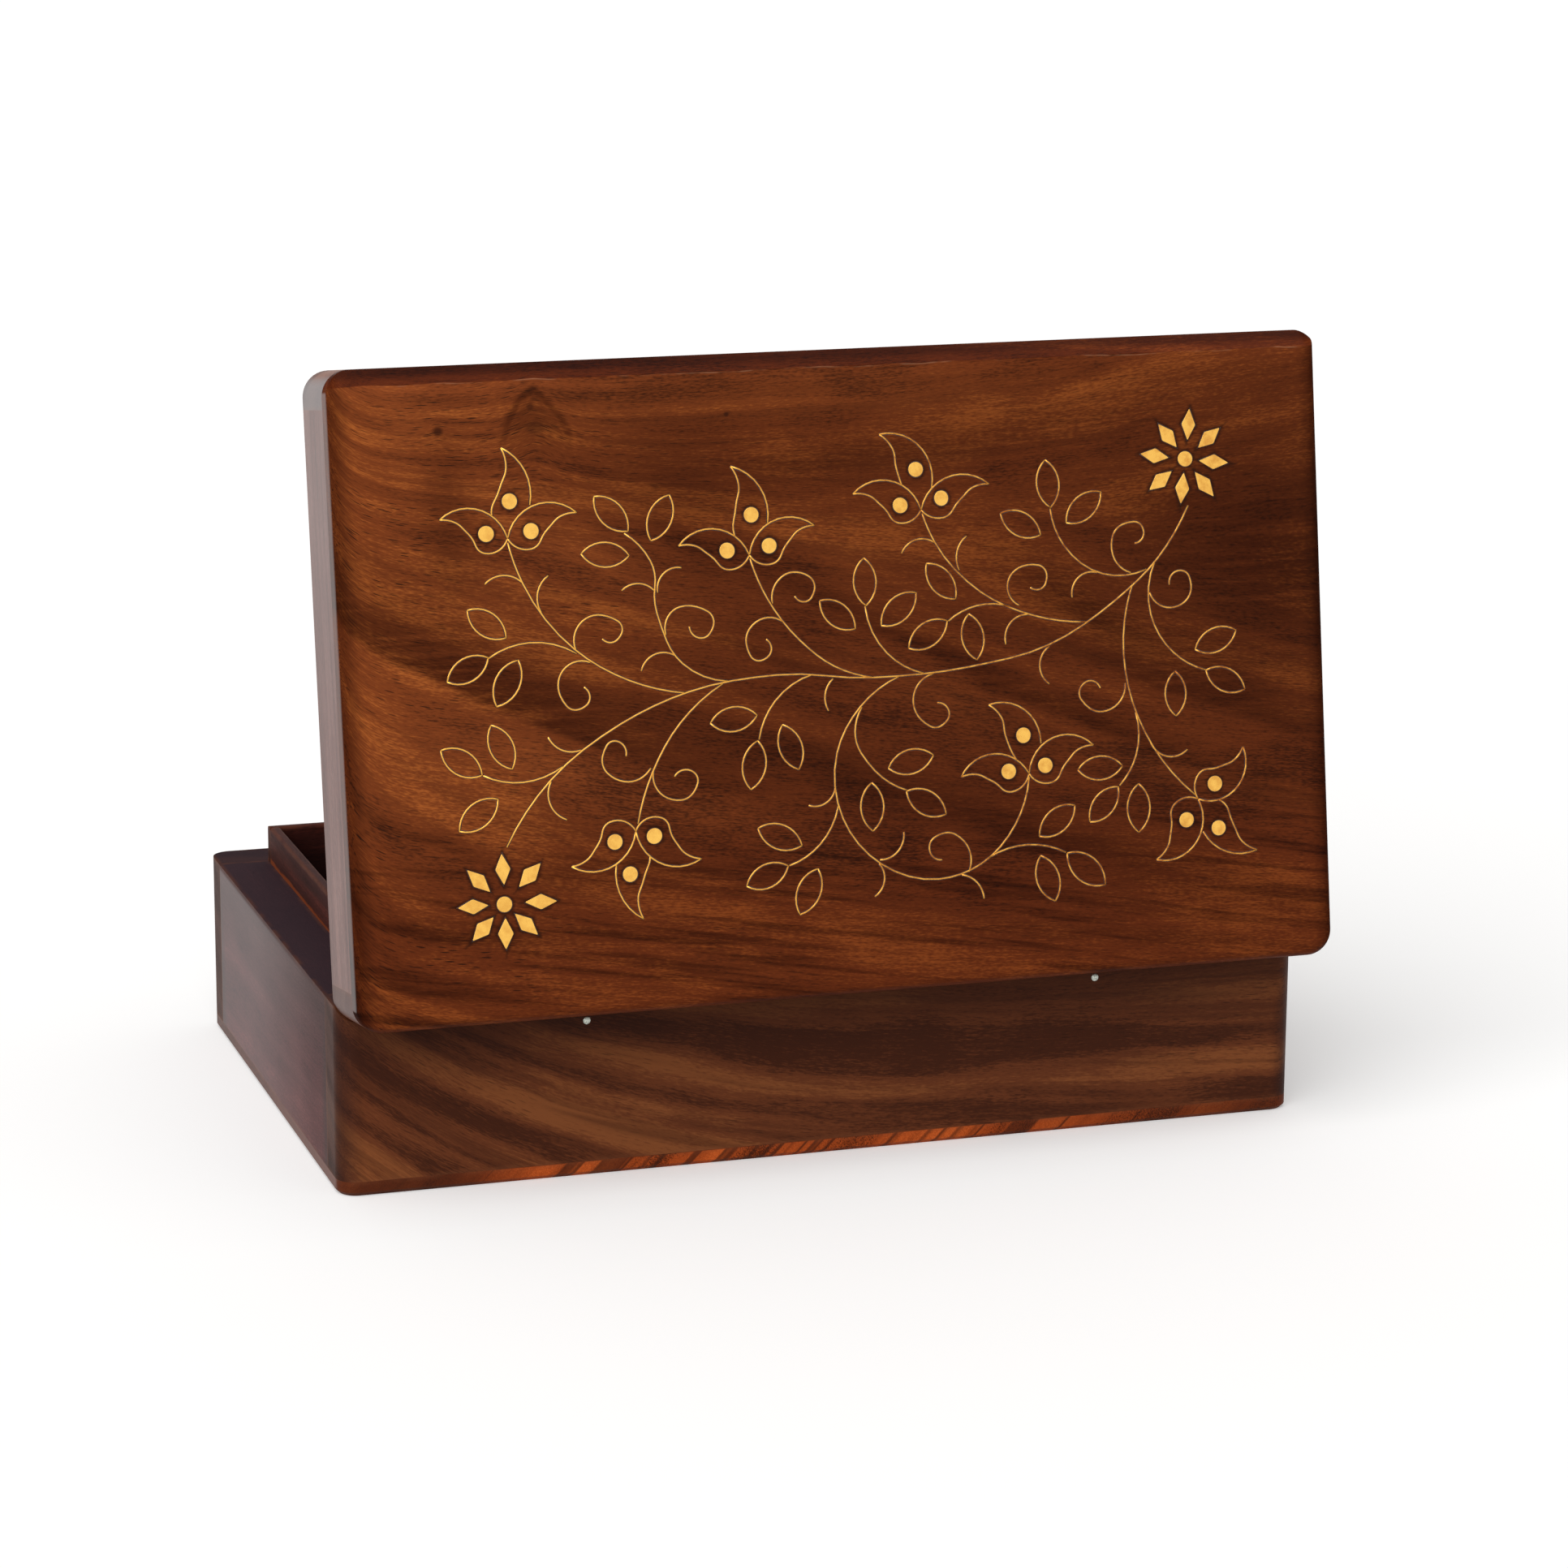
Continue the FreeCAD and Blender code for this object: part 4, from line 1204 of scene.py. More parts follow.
@dataclass
class LidPanel(WoodBoard):
    """The lid's panel, with its knots and streaks, its planed front bevel and the filler round the inlay."""

    drawing: VineDrawing = VineDrawing()
    knots: tuple[Knot, ...] = (
        Knot((-61.4, 50.9), 6.0, 5.5, (2.4, 1.7), 0.55),
        Knot((-62.2, 55.0), 1.2, 0.6, (0.9, 0.9), 0.6),
        Knot((-80.5, 51.0), 2.4, 1.2, (1.3, 1.2), 0.85),
        Knot((-23.0, 51.8), 1.8, 0.6, (0.7, 0.6), 0.9),
    )
    streaks: tuple[Streak, ...] = (
        Streak((-78.0, 1.5), -0.45, 0.0006, 50.0, 14.0, 1.6, 0.95),
        Streak((32.0, -32.0), -0.34, 0.0, 66.0, 5.5, 3.2, 0.7),
        Streak((40.0, -8.0), -0.46, 0.0008, 58.0, 3.4, 1.9, 0.75),
        Streak((-18.0, 5.0), -0.4, 0.0, 14.0, 2.2, 1.5, 0.4),
        Streak((-33.0, 28.0), -0.55, 0.0, 8.0, 2.5, 2.2, 0.6),
        Streak((-34.0, 38.0), -0.1, 0.0, 17.0, 9.0, 7.0, 0.5),
        Streak((-54.0, -36.0), -0.1, 0.0, 17.0, 3.5, 3.5, 0.45),
        Streak((53.0, 8.0), -0.6, 0.0, 18.0, 6.0, 6.0, 0.85),
        Streak((74.0, -9.0), -0.42, 0.0, 32.0, 16.0, 2.0, 0.72),
        Streak((90.0, 18.0), -0.2, 0.0, 34.0, 26.0, 22.0, 0.84),
        Streak((67.0, -46.0), -0.25, 0.0, 22.0, 3.5, 3.5, 0.5),
        Streak((15.0, 44.0), 0.1, 0.0006, 66.0, 3.2, 5.0, 0.4),
        Streak((-79.0, 33.0), 0.0, 0.0, 5.5, 17.0, 20.0, 0.5),
        Streak((-88.0, -27.0), -0.3, 0.0, 15.0, 2.2, 1.0, 0.5),
        Streak((-86.0, -45.5), -0.13, 0.0, 22.0, 2.4, 1.0, 0.85),
        Streak((-88.0, -57.0), -0.13, 0.0, 18.0, 2.2, 0.7, 0.75),
        Streak((34.0, -46.5), -0.2, 0.0, 38.0, 1.5, 1.0, 0.6),
        Streak((60.0, -57.0), -0.12, 0.0, 46.0, 1.6, 1.0, 0.45),
    )
    glows: tuple[Streak, ...] = (
        Streak((-5.0, 55.5), 0.0, 0.0, 48.0, 6.0, 5.0, 1.0),
        Streak((-87.0, 54.0), 0.0, 0.0, 8.0, 6.0, 6.0, 0.35),
        Streak((-50.0, 25.0), -0.3, 0.0, 11.0, 6.0, 6.0, 0.6),
        Streak((-35.0, 14.0), -0.3, 0.0, 11.0, 4.0, 4.0, 0.4),
        Streak((-3.0, 26.0), -0.3, 0.0, 11.0, 6.0, 5.0, 0.55),
        Streak((-58.0, -15.0), -0.3, 0.0, 14.0, 4.0, 4.5, 0.75),
        Streak((-36.0, -25.0), -0.2, 0.0, 22.0, 5.0, 4.0, 0.75),
        Streak((-6.0, -36.0), -0.2, 0.0, 10.0, 5.0, 5.0, 0.55),
        Streak((-25.0, -56.0), -0.12, 0.0, 14.0, 4.0, 4.0, 0.5),
        Streak((18.0, -5.0), -0.35, 0.0, 16.0, 4.0, 4.0, 0.55),
        Streak((74.0, -25.0), -0.3, 0.0, 26.0, 4.0, 4.5, 0.65),
    )
    arch_foot: Point = (-61.4, 46.5)
    arch_size: Point = (7.0, 12.0)
    low_lean: float = 0.17
    curl: Point = (6.5, 3.6)
    bevel_width: float = 3.3
    left_tone_and_light_gain: Colour = (1.6, 1.62, 1.5, 1.0)
    right_tone_and_shade_gain: Colour = (0.92, 0.85, 0.76, 1.0)
    low_gain: Colour = (0.84, 0.7, 0.64, 1.0)
    end_shade_gain: Colour = (0.34, 0.29, 0.27, 1.0)
    bevel_shade_gain: Colour = (0.78, 0.6, 0.52, 1.0)
    bevel_rim_shade_gain: Colour = (0.4, 0.29, 0.26, 1.0)
    edge_light_gain: Colour = (1.22, 1.25, 1.3, 1.0)
    streak_gain: Colour = (0.3, 0.26, 0.24, 1.0)
    glow_gain: Colour = (1.5, 1.64, 1.6, 1.0)
    glint: Colour = tone(168, 118, 88)
    filler: Colour = tone(34, 16, 9)
    golden_and_light_run: Ramp = Ramp(-98.0, -20.0)
    low_run: Ramp = Ramp(-50.0, -10.0, 0.8, 0.0)
    end_shade: Ramp = Ramp(0.2, 5.0, 0.85, 0.0)
    end_dullness: Ramp = Ramp(1.0, 3.0, 0.45, 0.0)
    end_face: Point = (0.03, 0.14)
    pore_run: Point = (-90.0, 10.0)
    few_pores: float = 0.4
    arch_noise: Noise = Noise((1 / 6, 1 / 6, 0.0), (3.0, 8.0, 0.0), 2.0, 0.55)
    arch_sway: float = 0.3
    arch_point: float = 1.15
    arm_inside: Ramp = Ramp(0.7, 0.92)
    arm_outside: Ramp = Ramp(0.96, 1.2, 1.0, 0.0)
    arch_middle: Ramp = Ramp(0.6, 1.15, 0.65, 0.0)
    arch_height: Ramp = Ramp(-4.0, 6.0, 0.0, 0.66)
    sway_noise: Noise = Noise((1 / 34, 1 / 9, 0.0), (5.0, 3.0, 0.0), 3.0, 0.55)
    sway: float = 6.0
    broken_noise: Noise = Noise((1 / 26, 1 / 1.6, 0.0), (8.0, 6.0, 0.0), 3.0, 0.6)
    broken: Ramp = Ramp(0.25, 0.6, 0.55, 1.1)
    line_noise: Noise = Noise((1 / 60, 1 / 2.4, 0.0), (1.0, 4.0, 0.0), 2.0, 0.6)
    line_edge: Ramp = Ramp(0.48, 0.67)
    lined_run: Ramp = Ramp(-40.0, -20.0, 0.75, 0.0)
    bevel_noise: Noise = Noise((1 / 14, 0.0, 0.0), (2.0, 0.0, 0.0), 2.0, 0.55)
    bevel_sway: float = 1.3
    bevel_foot: float = 0.7
    bevel_edge: Ramp = Ramp(-0.1, 0.12)
    bevel_rim: Ramp = Ramp(0.6, 2.4)
    rolled_edge_light: Ramp = Ramp(-4.0, -0.3)
    glint_noise: Noise = Noise((1 / 9, 1 / 9, 0.0), (7.0, 1.0, 0.0), 3.0, 0.6)
    glint_patches: Ramp = Ramp(0.46, 0.68)
    glint_below: Ramp = Ramp(-0.32, -0.12)
    glint_above: Ramp = Ramp(-0.06, 0.06, 0.45, 0.0)
    stain_noise: Noise = Noise((1 / 1.3, 1 / 1.1, 0.0), (4.0, 2.0, 0.0), 2.0, 0.6)
    stain_reach: Point = (2.4, 0.25)
    stain_cover: float = 0.85
    dot_reach: float = 1.5
    lozenge_reach: Triple = (3.15, 1.5, 1.0)
    lozenge_gain: float = 1.35

    def __post_init__(self) -> None:
        """Measure the panel and make room for the masks of its knots' hearts."""
        super().__post_init__()
        self.hearts: list[Signal] = []

    def grain_places(self, board: Signal) -> Signal:
        """Places as the rings see them, curled up at the golden end and lifted round the knots.

        Args:
            board: Places on the panel.

        Returns:
            The lifted places.
        """
        places = self.curled(board)
        for knot in self.knots:
            own = asdict(knot) | {"place": (*knot.place, 0.0), "heart": (*knot.heart, 1.0)}
            shown = self.bench.group(self.effects.knot, board=board, **own)
            places = places.vector("SUBTRACT", self.bench.joined(0.0, shown["rise"], 0.0))
            self.hearts.append(shown["heart"])
        return places

    def curled(self, board: Signal) -> Signal:
        """Places for rings that curl up where the face rolls over to the short side at the golden end.

        Args:
            board: Places on the panel.

        Returns:
            The places, lowered by the height and the reach of the curl.
        """
        height, reach = self.curl
        fall = ((self.finish.flow.start - board.split()[0]) / reach).exp()
        return board.vector("SUBTRACT", self.bench.joined(0.0, fall * height, 0.0))

    def arch(self, board: Signal) -> Signal:
        """The mask of the pointed arch round the largest knot: dark arms and a dim middle.

        Args:
            board: Places on the panel.

        Returns:
            The mask.
        """
        aside, above, _ = board.vector("SUBTRACT", (*self.arch_foot, 0.0)).split()
        sway = board.noise(*self.arch_noise) - 0.5
        half_width, height = self.arch_size
        rise = above / height
        pointed = rise.at_least(0.0) * rise + (abs(aside) / half_width) ** self.arch_point
        reach = sway * self.arch_sway + pointed
        arms = reach.ease(*self.arm_inside) * reach.ease(*self.arm_outside)
        return arms.at_least(reach.ease(*self.arch_middle)) * above.ease(*self.arch_height)

    def marks(self, streaks: Iterable[Streak], places: Signal, sway: Signal) -> Signal:
        """The mask of several streaks.

        Args:
            streaks: The streaks.
            places: Places on the panel, as the rings see them.
            sway: How far the streaks wander, in millimetres.

        Returns:
            The strongest mask at each place.
        """
        masks = []
        for streak in streaks:
            own = asdict(streak) | {"place": (*streak.place, 0.0)}
            masks.append(self.bench.group(self.effects.streak, board=places, sway=sway, **own)["mask"])
        return reduce(Signal.at_least, masks)

    def streaked(self, board: Signal, colour: Signal) -> Signal:
        """The panel's colour with its streaks, the lines of its lower part and the arch of its largest knot.

        Args:
            board: Places on the panel.
            colour: The colour without them.

        Returns:
            The streaked colour.
        """
        along, across, _ = board.split()
        sway = (board.noise(*self.sway_noise) - 0.5) * self.sway
        broken = board.noise(*self.broken_noise).ease(*self.broken)
        places = self.curled(board)
        lit = colour.tinted(self.glow_gain, self.marks(self.glows, places, sway))
        leaning = self.bench.joined(along, along * self.low_lean + across, 0.0)
        low = leaning.noise(*self.line_noise).ease(*self.line_edge) * across.ease(*self.lined_run)
        dark = self.marks(self.streaks, places, sway).at_least(self.arch(board)).at_least(low)
        return lit.tinted(self.streak_gain, (dark * broken).clamped())

    def coloured(self, board: Signal, colour: Signal) -> Signal:
        """The panel's colour: golden at one end, redder at the other, dark on the bevel and in the filler.

        The golden end's lightness and the red end's darkness are partly painted light and shade. There is
        painted shade where the face rolls over to its short sides and on the bevel, and a painted light band
        and a painted highlight along the bevel's foot.

        Args:
            board: Places on the panel.
            colour: The grain's colour.

        Returns:
            The marked colour.
        """
        along, across, _ = board.split()
        # painted light and shade: lighter towards the golden end and darker towards the red end, partly the
        # wood's own tone
        gain = self.bench.mix(along.ease(*self.golden_and_light_run), self.left_tone_and_light_gain, self.right_tone_and_shade_gain)
        gain = gain.mixed(self.low_gain, across.ease(*self.low_run))
        shaded = self.streaked(board, colour.tinted(gain))
        for heart in self.hearts:
            shaded = shaded.mixed(self.finish.tones.dark, heart)
        # painted shade where the face rolls over to the short sides
        shaded = shaded.tinted(self.end_shade_gain, self.inset(board, 0).ease(*self.end_shade))
        foot = self.half_size.y - self.bevel_width - self.bevel_foot
        above = across - (board.noise(*self.bevel_noise) * self.bevel_sway + foot)
        # painted light: a lighter band where the face rolls up towards the bevel
        shaded = shaded.tinted(self.edge_light_gain, above.ease(*self.rolled_edge_light))
        # painted shade on the bevel, in a darker and redder tone, darkest towards its top edge
        bevel = self.bench.mix(above.ease(*self.bevel_rim), self.bevel_shade_gain, self.bevel_rim_shade_gain)
        shaded = shaded.mixed(colour.tinted(bevel), above.ease(*self.bevel_edge))
        # painted highlight: a thin, patchy light line along the bevel's foot
        patchy = board.noise(*self.glint_noise).ease(*self.glint_patches)
        line = above.ease(*self.glint_below) * above.ease(*self.glint_above)
        shaded = shaded.mixed(self.glint, line * patchy)
        return shaded.mixed(self.filler, self.stain(board))

    def polished(self, board: Signal) -> Feed:
        """Polish on the panel's two short sides only."""
        return self.inset(board, 0).ease(*self.end_face, self.finish.polish, 0.0)

    def roughened(self, board: Signal, rough: Signal) -> Signal:
        """The panel's roughness, dull where its face rolls over to the short sides."""
        return (rough + self.inset(board, 0).ease(*self.end_dullness)).clamped()

    def open_pores(self, board: Signal) -> Feed:
        """How strongly the pores show: most at the golden end."""
        return board.split()[0].ease(*self.pore_run, self.finish.pores, self.few_pores)

    def beside_lozenge(self, level: Signal, place: Vector, angle: float) -> Signal:
        """How far a place is outside a lozenge.

        Args:
            level: Places on the panel's face.
            place: The lozenge's middle.
            angle: Its turn.

        Returns:
            The distance, roughly in millimetres.
        """
        node = self.bench.node("ShaderNodeMapping", vector_type="TEXTURE")
        own = {"Vector": level, "Location": place, "Rotation": (0.0, 0.0, angle),
               "Scale": self.lozenge_reach}
        long_part, short_part, _ = self.bench.fed(node, own)["Vector"].vector("ABSOLUTE").split()
        return (long_part + short_part - 1.0) * self.lozenge_gain

    def stain(self, board: Signal) -> Signal:
        """The dark filler that was rubbed in round the dots and lozenges.

        Args:
            board: Places on the panel.

        Returns:
            The mask of the filler.
        """
        level = board.vector("MULTIPLY", (1.0, 1.0, 0.0))
        shown = board.split()[2].ease(self.top - 1.0, self.top - 0.5, 0.0, self.stain_cover)
        widest, narrowing = self.stain_reach
        reach = board.noise(*self.stain_noise) * widest - narrowing
        near = [level.vector("DISTANCE", (*spot, 0.0)) for spot in self.drawing.spots()]
        dots = reduce(Signal.at_most, near) - self.dot_reach
        lozenges = [self.beside_lozenge(level, *lozenge) for lozenge in self.drawing.lozenges()]
        return reduce(Signal.at_most, lozenges, dots).ease(0.0, reach, 1.0, 0.0) * shown


@dataclass
class LinerBoard(WoodBoard):
    """A board of the liner, with painted shade inside and a line of raw orange wood at the foot of its lip.
    """

    glue_tone: Colour = tone(128, 60, 26)
    inner_shade_tone: Colour = tone(20, 11, 11)
    rim: float = 38.7
    inner_face: Ramp = Ramp(-1.1, -0.9, 1.0, 0.0)
    inner_shade_height: Ramp = Ramp(-6.0, 6.0, 0.9, 0.3)
    outer_face: Ramp = Ramp(0.7, 1.0, 0.0, 0.8)
    lip_foot: Ramp = Ramp(-1.0, -0.5)
    glue_noise: Triple = (1 / 9, 1 / 9, 1 / 9)
    glue_sway: float = 1.6
    glue_foot: float = 0.3
    glue_edge: float = 0.5

    def coloured(self, board: Signal, colour: Signal) -> Signal:
        """The liner's colour: the raw line at the foot of its lip outside, and painted shade inside, deeper
        lower down.

        Args:
            board: Places on the board.
            colour: The grain's colour.

        Returns:
            The marked colour.
        """
        _, across, through = board.split()
        outwards = through * math.copysign(1.0, self.middle.z) - abs(self.middle.z)
        over_rim = across - self.rim
        # painted shade on the inner faces, stronger further down inside the box
        inner = outwards.ease(*self.inner_face) * over_rim.ease(*self.inner_shade_height)
        top = board.noise(self.glue_noise, self.finish.shift()) * self.glue_sway - self.glue_foot
        line = over_rim.ease(top, top + self.glue_edge, 1.0, 0.0)
        shown = over_rim.ease(*self.lip_foot) * outwards.ease(*self.outer_face)
        return colour.mixed(self.inner_shade_tone, inner).mixed(self.glue_tone, line * shown)


@dataclass
class BottomBoard(WoodBoard):
    """The bottom panel, with dark zebra lines on its edge, which is stained like the walls at both ends."""

    stained: Colour = tone(52, 28, 19)
    zebra_rake: float = 1.0
    zebra_width: float = 6.5
    zebra_length: float = 40.0
    zebra_shift: Triple = (4.0, 9.0, 0.0)
    zebra_line: Point = (0.01, 0.06)
    zebra_depth: Ramp = Ramp(0.5, 2.5, 0.75, 0.0)
    inside_depth: Ramp = Ramp(0.05, 0.2, 0.7, 0.0)
    plus_x_end: Ramp = Ramp(58.0, 80.0, 0.0, 0.85)
    minus_x_end: Ramp = Ramp(-96.0, -30.0, 0.75, 0.0)
    end_face: Point = (0.05, 0.2)

    def coloured(self, board: Signal, colour: Signal) -> Signal:
        """The panel's colour with the zebra lines of its long edges, its stained ends and a darker face
        inside the box.

        Args:
            board: Places on the board.
            colour: The grain's colour.

        Returns:
            The marked colour.
        """
        along, across, height = board.split()
        slanted = self.bench.joined(height * self.zebra_rake + across, along, 0.0)
        waves = slanted.noise((1 / self.zebra_width, 1 / self.zebra_length, 0.0), self.zebra_shift)
        edge = self.inset(board, 0).ease(*self.zebra_depth)
        line = abs(waves - 0.5).ease(*self.zebra_line, edge, 0.0)
        # darker on the face inside the box
        inside = (self.top - height).ease(*self.inside_depth)
        ends = across.ease(*self.plus_x_end).at_least(across.ease(*self.minus_x_end))
        return colour.mixed(self.stained, line.at_least(inside).at_least(ends))

    def polished(self, board: Signal) -> Feed:
        """Polish on the two ends that lie flush with the side walls."""
        return self.inset(board, 1).ease(*self.end_face, self.finish.polish, 0.0)


@dataclass
class EndGrainRail(WoodBoard):
    """The lid's front rail, whose sawn ends are greyer (partly painted reflection) and more polished than
    its long side.
    """

    end_tone_with_painted_light: Colour = tone(84, 74, 76)
    end_polish: float = 0.8
    end_grain_and_sheen_cover: float = 0.75
    end_depth: Point = (0.3, 2.4)

    def at_end(self, board: Signal, level: float) -> Signal:
        """A level that is reached at the rail's ends only."""
        return self.inset(board, 0).ease(*self.end_depth, level, 0.0)

    def coloured(self, board: Signal, colour: Signal) -> Signal:
        """The rail's colour with its sawn ends, greyer partly by painted reflection."""
        # sawn ends greyer: partly end grain, partly painted reflection
        return colour.mixed(self.end_tone_with_painted_light, self.at_end(board, self.end_grain_and_sheen_cover))

    def polished(self, board: Signal) -> Feed:
        """Polish on the sawn ends."""
        return self.at_end(board, self.end_polish)


@dataclass
class BackRail(EndGrainRail):
    """The lid's back rail, whose sawn ends are browner."""

    end_tone_with_painted_light: Colour = tone(78, 53, 49)
    end_polish: float = 0.15


@dataclass
class ShortRail(WoodBoard):
    """A short rail of the lid, with more polish towards the front."""

    polish_run: Point = (-25.0, 45.0)

    def polished(self, board: Signal) -> Feed:
        """Polish that grows from the hinge to the front."""
        return board.split()[0].ease(*self.polish_run, 0.0, self.finish.polish)


@dataclass
class WallBoard(WoodBoard):
    """A wall of the base, whose sawn rim is darker and duller than its polished side."""

    rim_tone: Colour = tone(46, 38, 46)
    end_tone_with_painted_light: Colour = tone(40, 23, 20)
    rim: float = 38.6
    rim_cover: float = 0.66
    rim_dullness: float = 0.45
    rim_edge: Ramp = Ramp(-0.15, 0.05)
    rim_side: Point = (-1.5, -0.4)
    end_shade: Ramp = Ramp(0.3, 6.0, 0.7, 0.0)
    lid_shade: Ramp = Ramp(18.0, 38.0, 0.0, 0.6)
    back_run: Ramp = Ramp(-53.0, 25.0, 0.1, 1.1)

    def on_rim(self, board: Signal) -> Signal:
        """The mask of the sawn rim."""
        return (board.split()[1] - self.rim).ease(*self.rim_edge)

    def coloured(self, board: Signal, colour: Signal) -> Signal:
        """The wall's colour, with painted shade at its ends and below the lid, and darker on the rim.

        Args:
            board: Places on the board.
            colour: The grain's colour.

        Returns:
            The marked colour.
        """
        # painted shade towards the wall's ends and under the open lid
        below_lid = board.split()[1].ease(*self.lid_shade)
        shade = self.inset(board, 0).ease(*self.end_shade).at_least(below_lid)
        return colour.mixed(self.end_tone_with_painted_light, shade).mixed(self.rim_tone, self.on_rim(board) * self.rim_cover)

    def roughened(self, board: Signal, rough: Signal) -> Signal:
        """The wall's roughness with its duller rim."""
        return rough + self.on_rim(board) * self.rim_dullness

    def polished(self, board: Signal) -> Feed:
        """Polish on the outer side only, which fades towards the box's back corners.

        Args:
            board: Places on the board.

        Returns:
            The polish.
        """
        along, across, _ = board.split()
        outer = (across - self.rim).ease(*self.rim_side, self.finish.polish, 0.0)
        return outer * along.ease(*self.back_run)


def finished_piece(bm: BMesh, name: str, place: Matrix, material: Material) -> bpy.types.Object:
    """Turn a modelled shape into an object whose place is in its mesh.

    Args:
        bm: The shape, in millimetres.
        name: The object's name.
        place: The move to the object's place, which also turns millimetres to metres.
        material: What it is made of.

    Returns:
        The object.
    """
    bmesh.ops.recalc_face_normals(bm, faces=bm.faces)
    for face in bm.faces:
        face.smooth = len(face.verts) <= 4
    bmesh.ops.transform(bm, matrix=place, verts=bm.verts)
    mesh = bpy.data.meshes.new(name)
    bm.to_mesh(mesh)
    bm.free()
    mesh.materials.append(material)
    made = bpy.data.objects.new(name, mesh)
    bpy.context.scene.collection.objects.link(made)
    LOG.info("built %s with %d faces", name, len(mesh.polygons))
    return made


@dataclass(frozen=True)
class WireProfile:
    """The cross section of a bead along a line: half its widths, from the foot up, and its heights."""

    foot: float
    shoulder: float
    crown: float
    sunk: float
    shoulder_height: float
    crown_height: float
    step: float = math.radians(11)

    def outline(self) -> list[Point]:
        """The corners of the section, as places to the left and heights."""
        widths = (self.foot, self.shoulder, self.crown)
        left = list(zip(widths, (-self.sunk, self.shoulder_height, self.crown_height)))
        return left + [(-aside, height) for aside, height in reversed(left)]

    def sweep(self, bm: BMesh, chain: Sequence[Arc], lift: float = 0.0) -> None:
        """Lay the bead along a chain of arcs by spinning its section round each arc in turn.

        Args:
            bm: Where the bead is modelled.
            chain: The arcs, in order.
            lift: Raises the crown, so that crossing wires don't lie at the very same height.
        """
        if not chain:
            return
        first = chain[0]
        side = left_of(first.heading)
        verts = [bm.verts.new(first.start + side * aside + UP * (height + (lift if height > 0 else 0)))
                 for aside, height in self.outline()]
        edges = [bm.edges.new((a, b)) for a, b in zip(verts, verts[1:] + verts[:1])]
        bmesh.ops.contextual_create(bm, geom=edges)
        geometry = verts + edges
        for arc in chain:
            geometry = self.turned(bm, geometry, arc)
        bmesh.ops.contextual_create(bm, geom=[item for item in geometry if isinstance(item, BMEdge)])

    def turned(self, bm: BMesh, geometry: list[BMVert | BMEdge], arc: Arc) -> list[BMVert | BMEdge]:
        """Carry a section along one arc.

        Args:
            bm: Where the bead is modelled.
            geometry: The section's vertices and edges at the arc's start.
            arc: The arc.

        Returns:
            The section's vertices and edges at the arc's end.
        """
        if arc.straight():
            move = {"cent": arc.start, "dvec": arc.end - arc.start, "angle": 0.0, "steps": 1}
        else:
            steps = max(2, math.ceil(abs(arc.turn()) / self.step))
            move = {"cent": arc.centre(), "dvec": (0.0, 0.0, 0.0), "angle": arc.turn(), "steps": steps}
        run = bmesh.ops.spin(bm, geom=geometry, axis=UP, use_merge=False, use_duplicate=False, **move)
        return [item for item in run["geom_last"] if not isinstance(item, BMFace)]


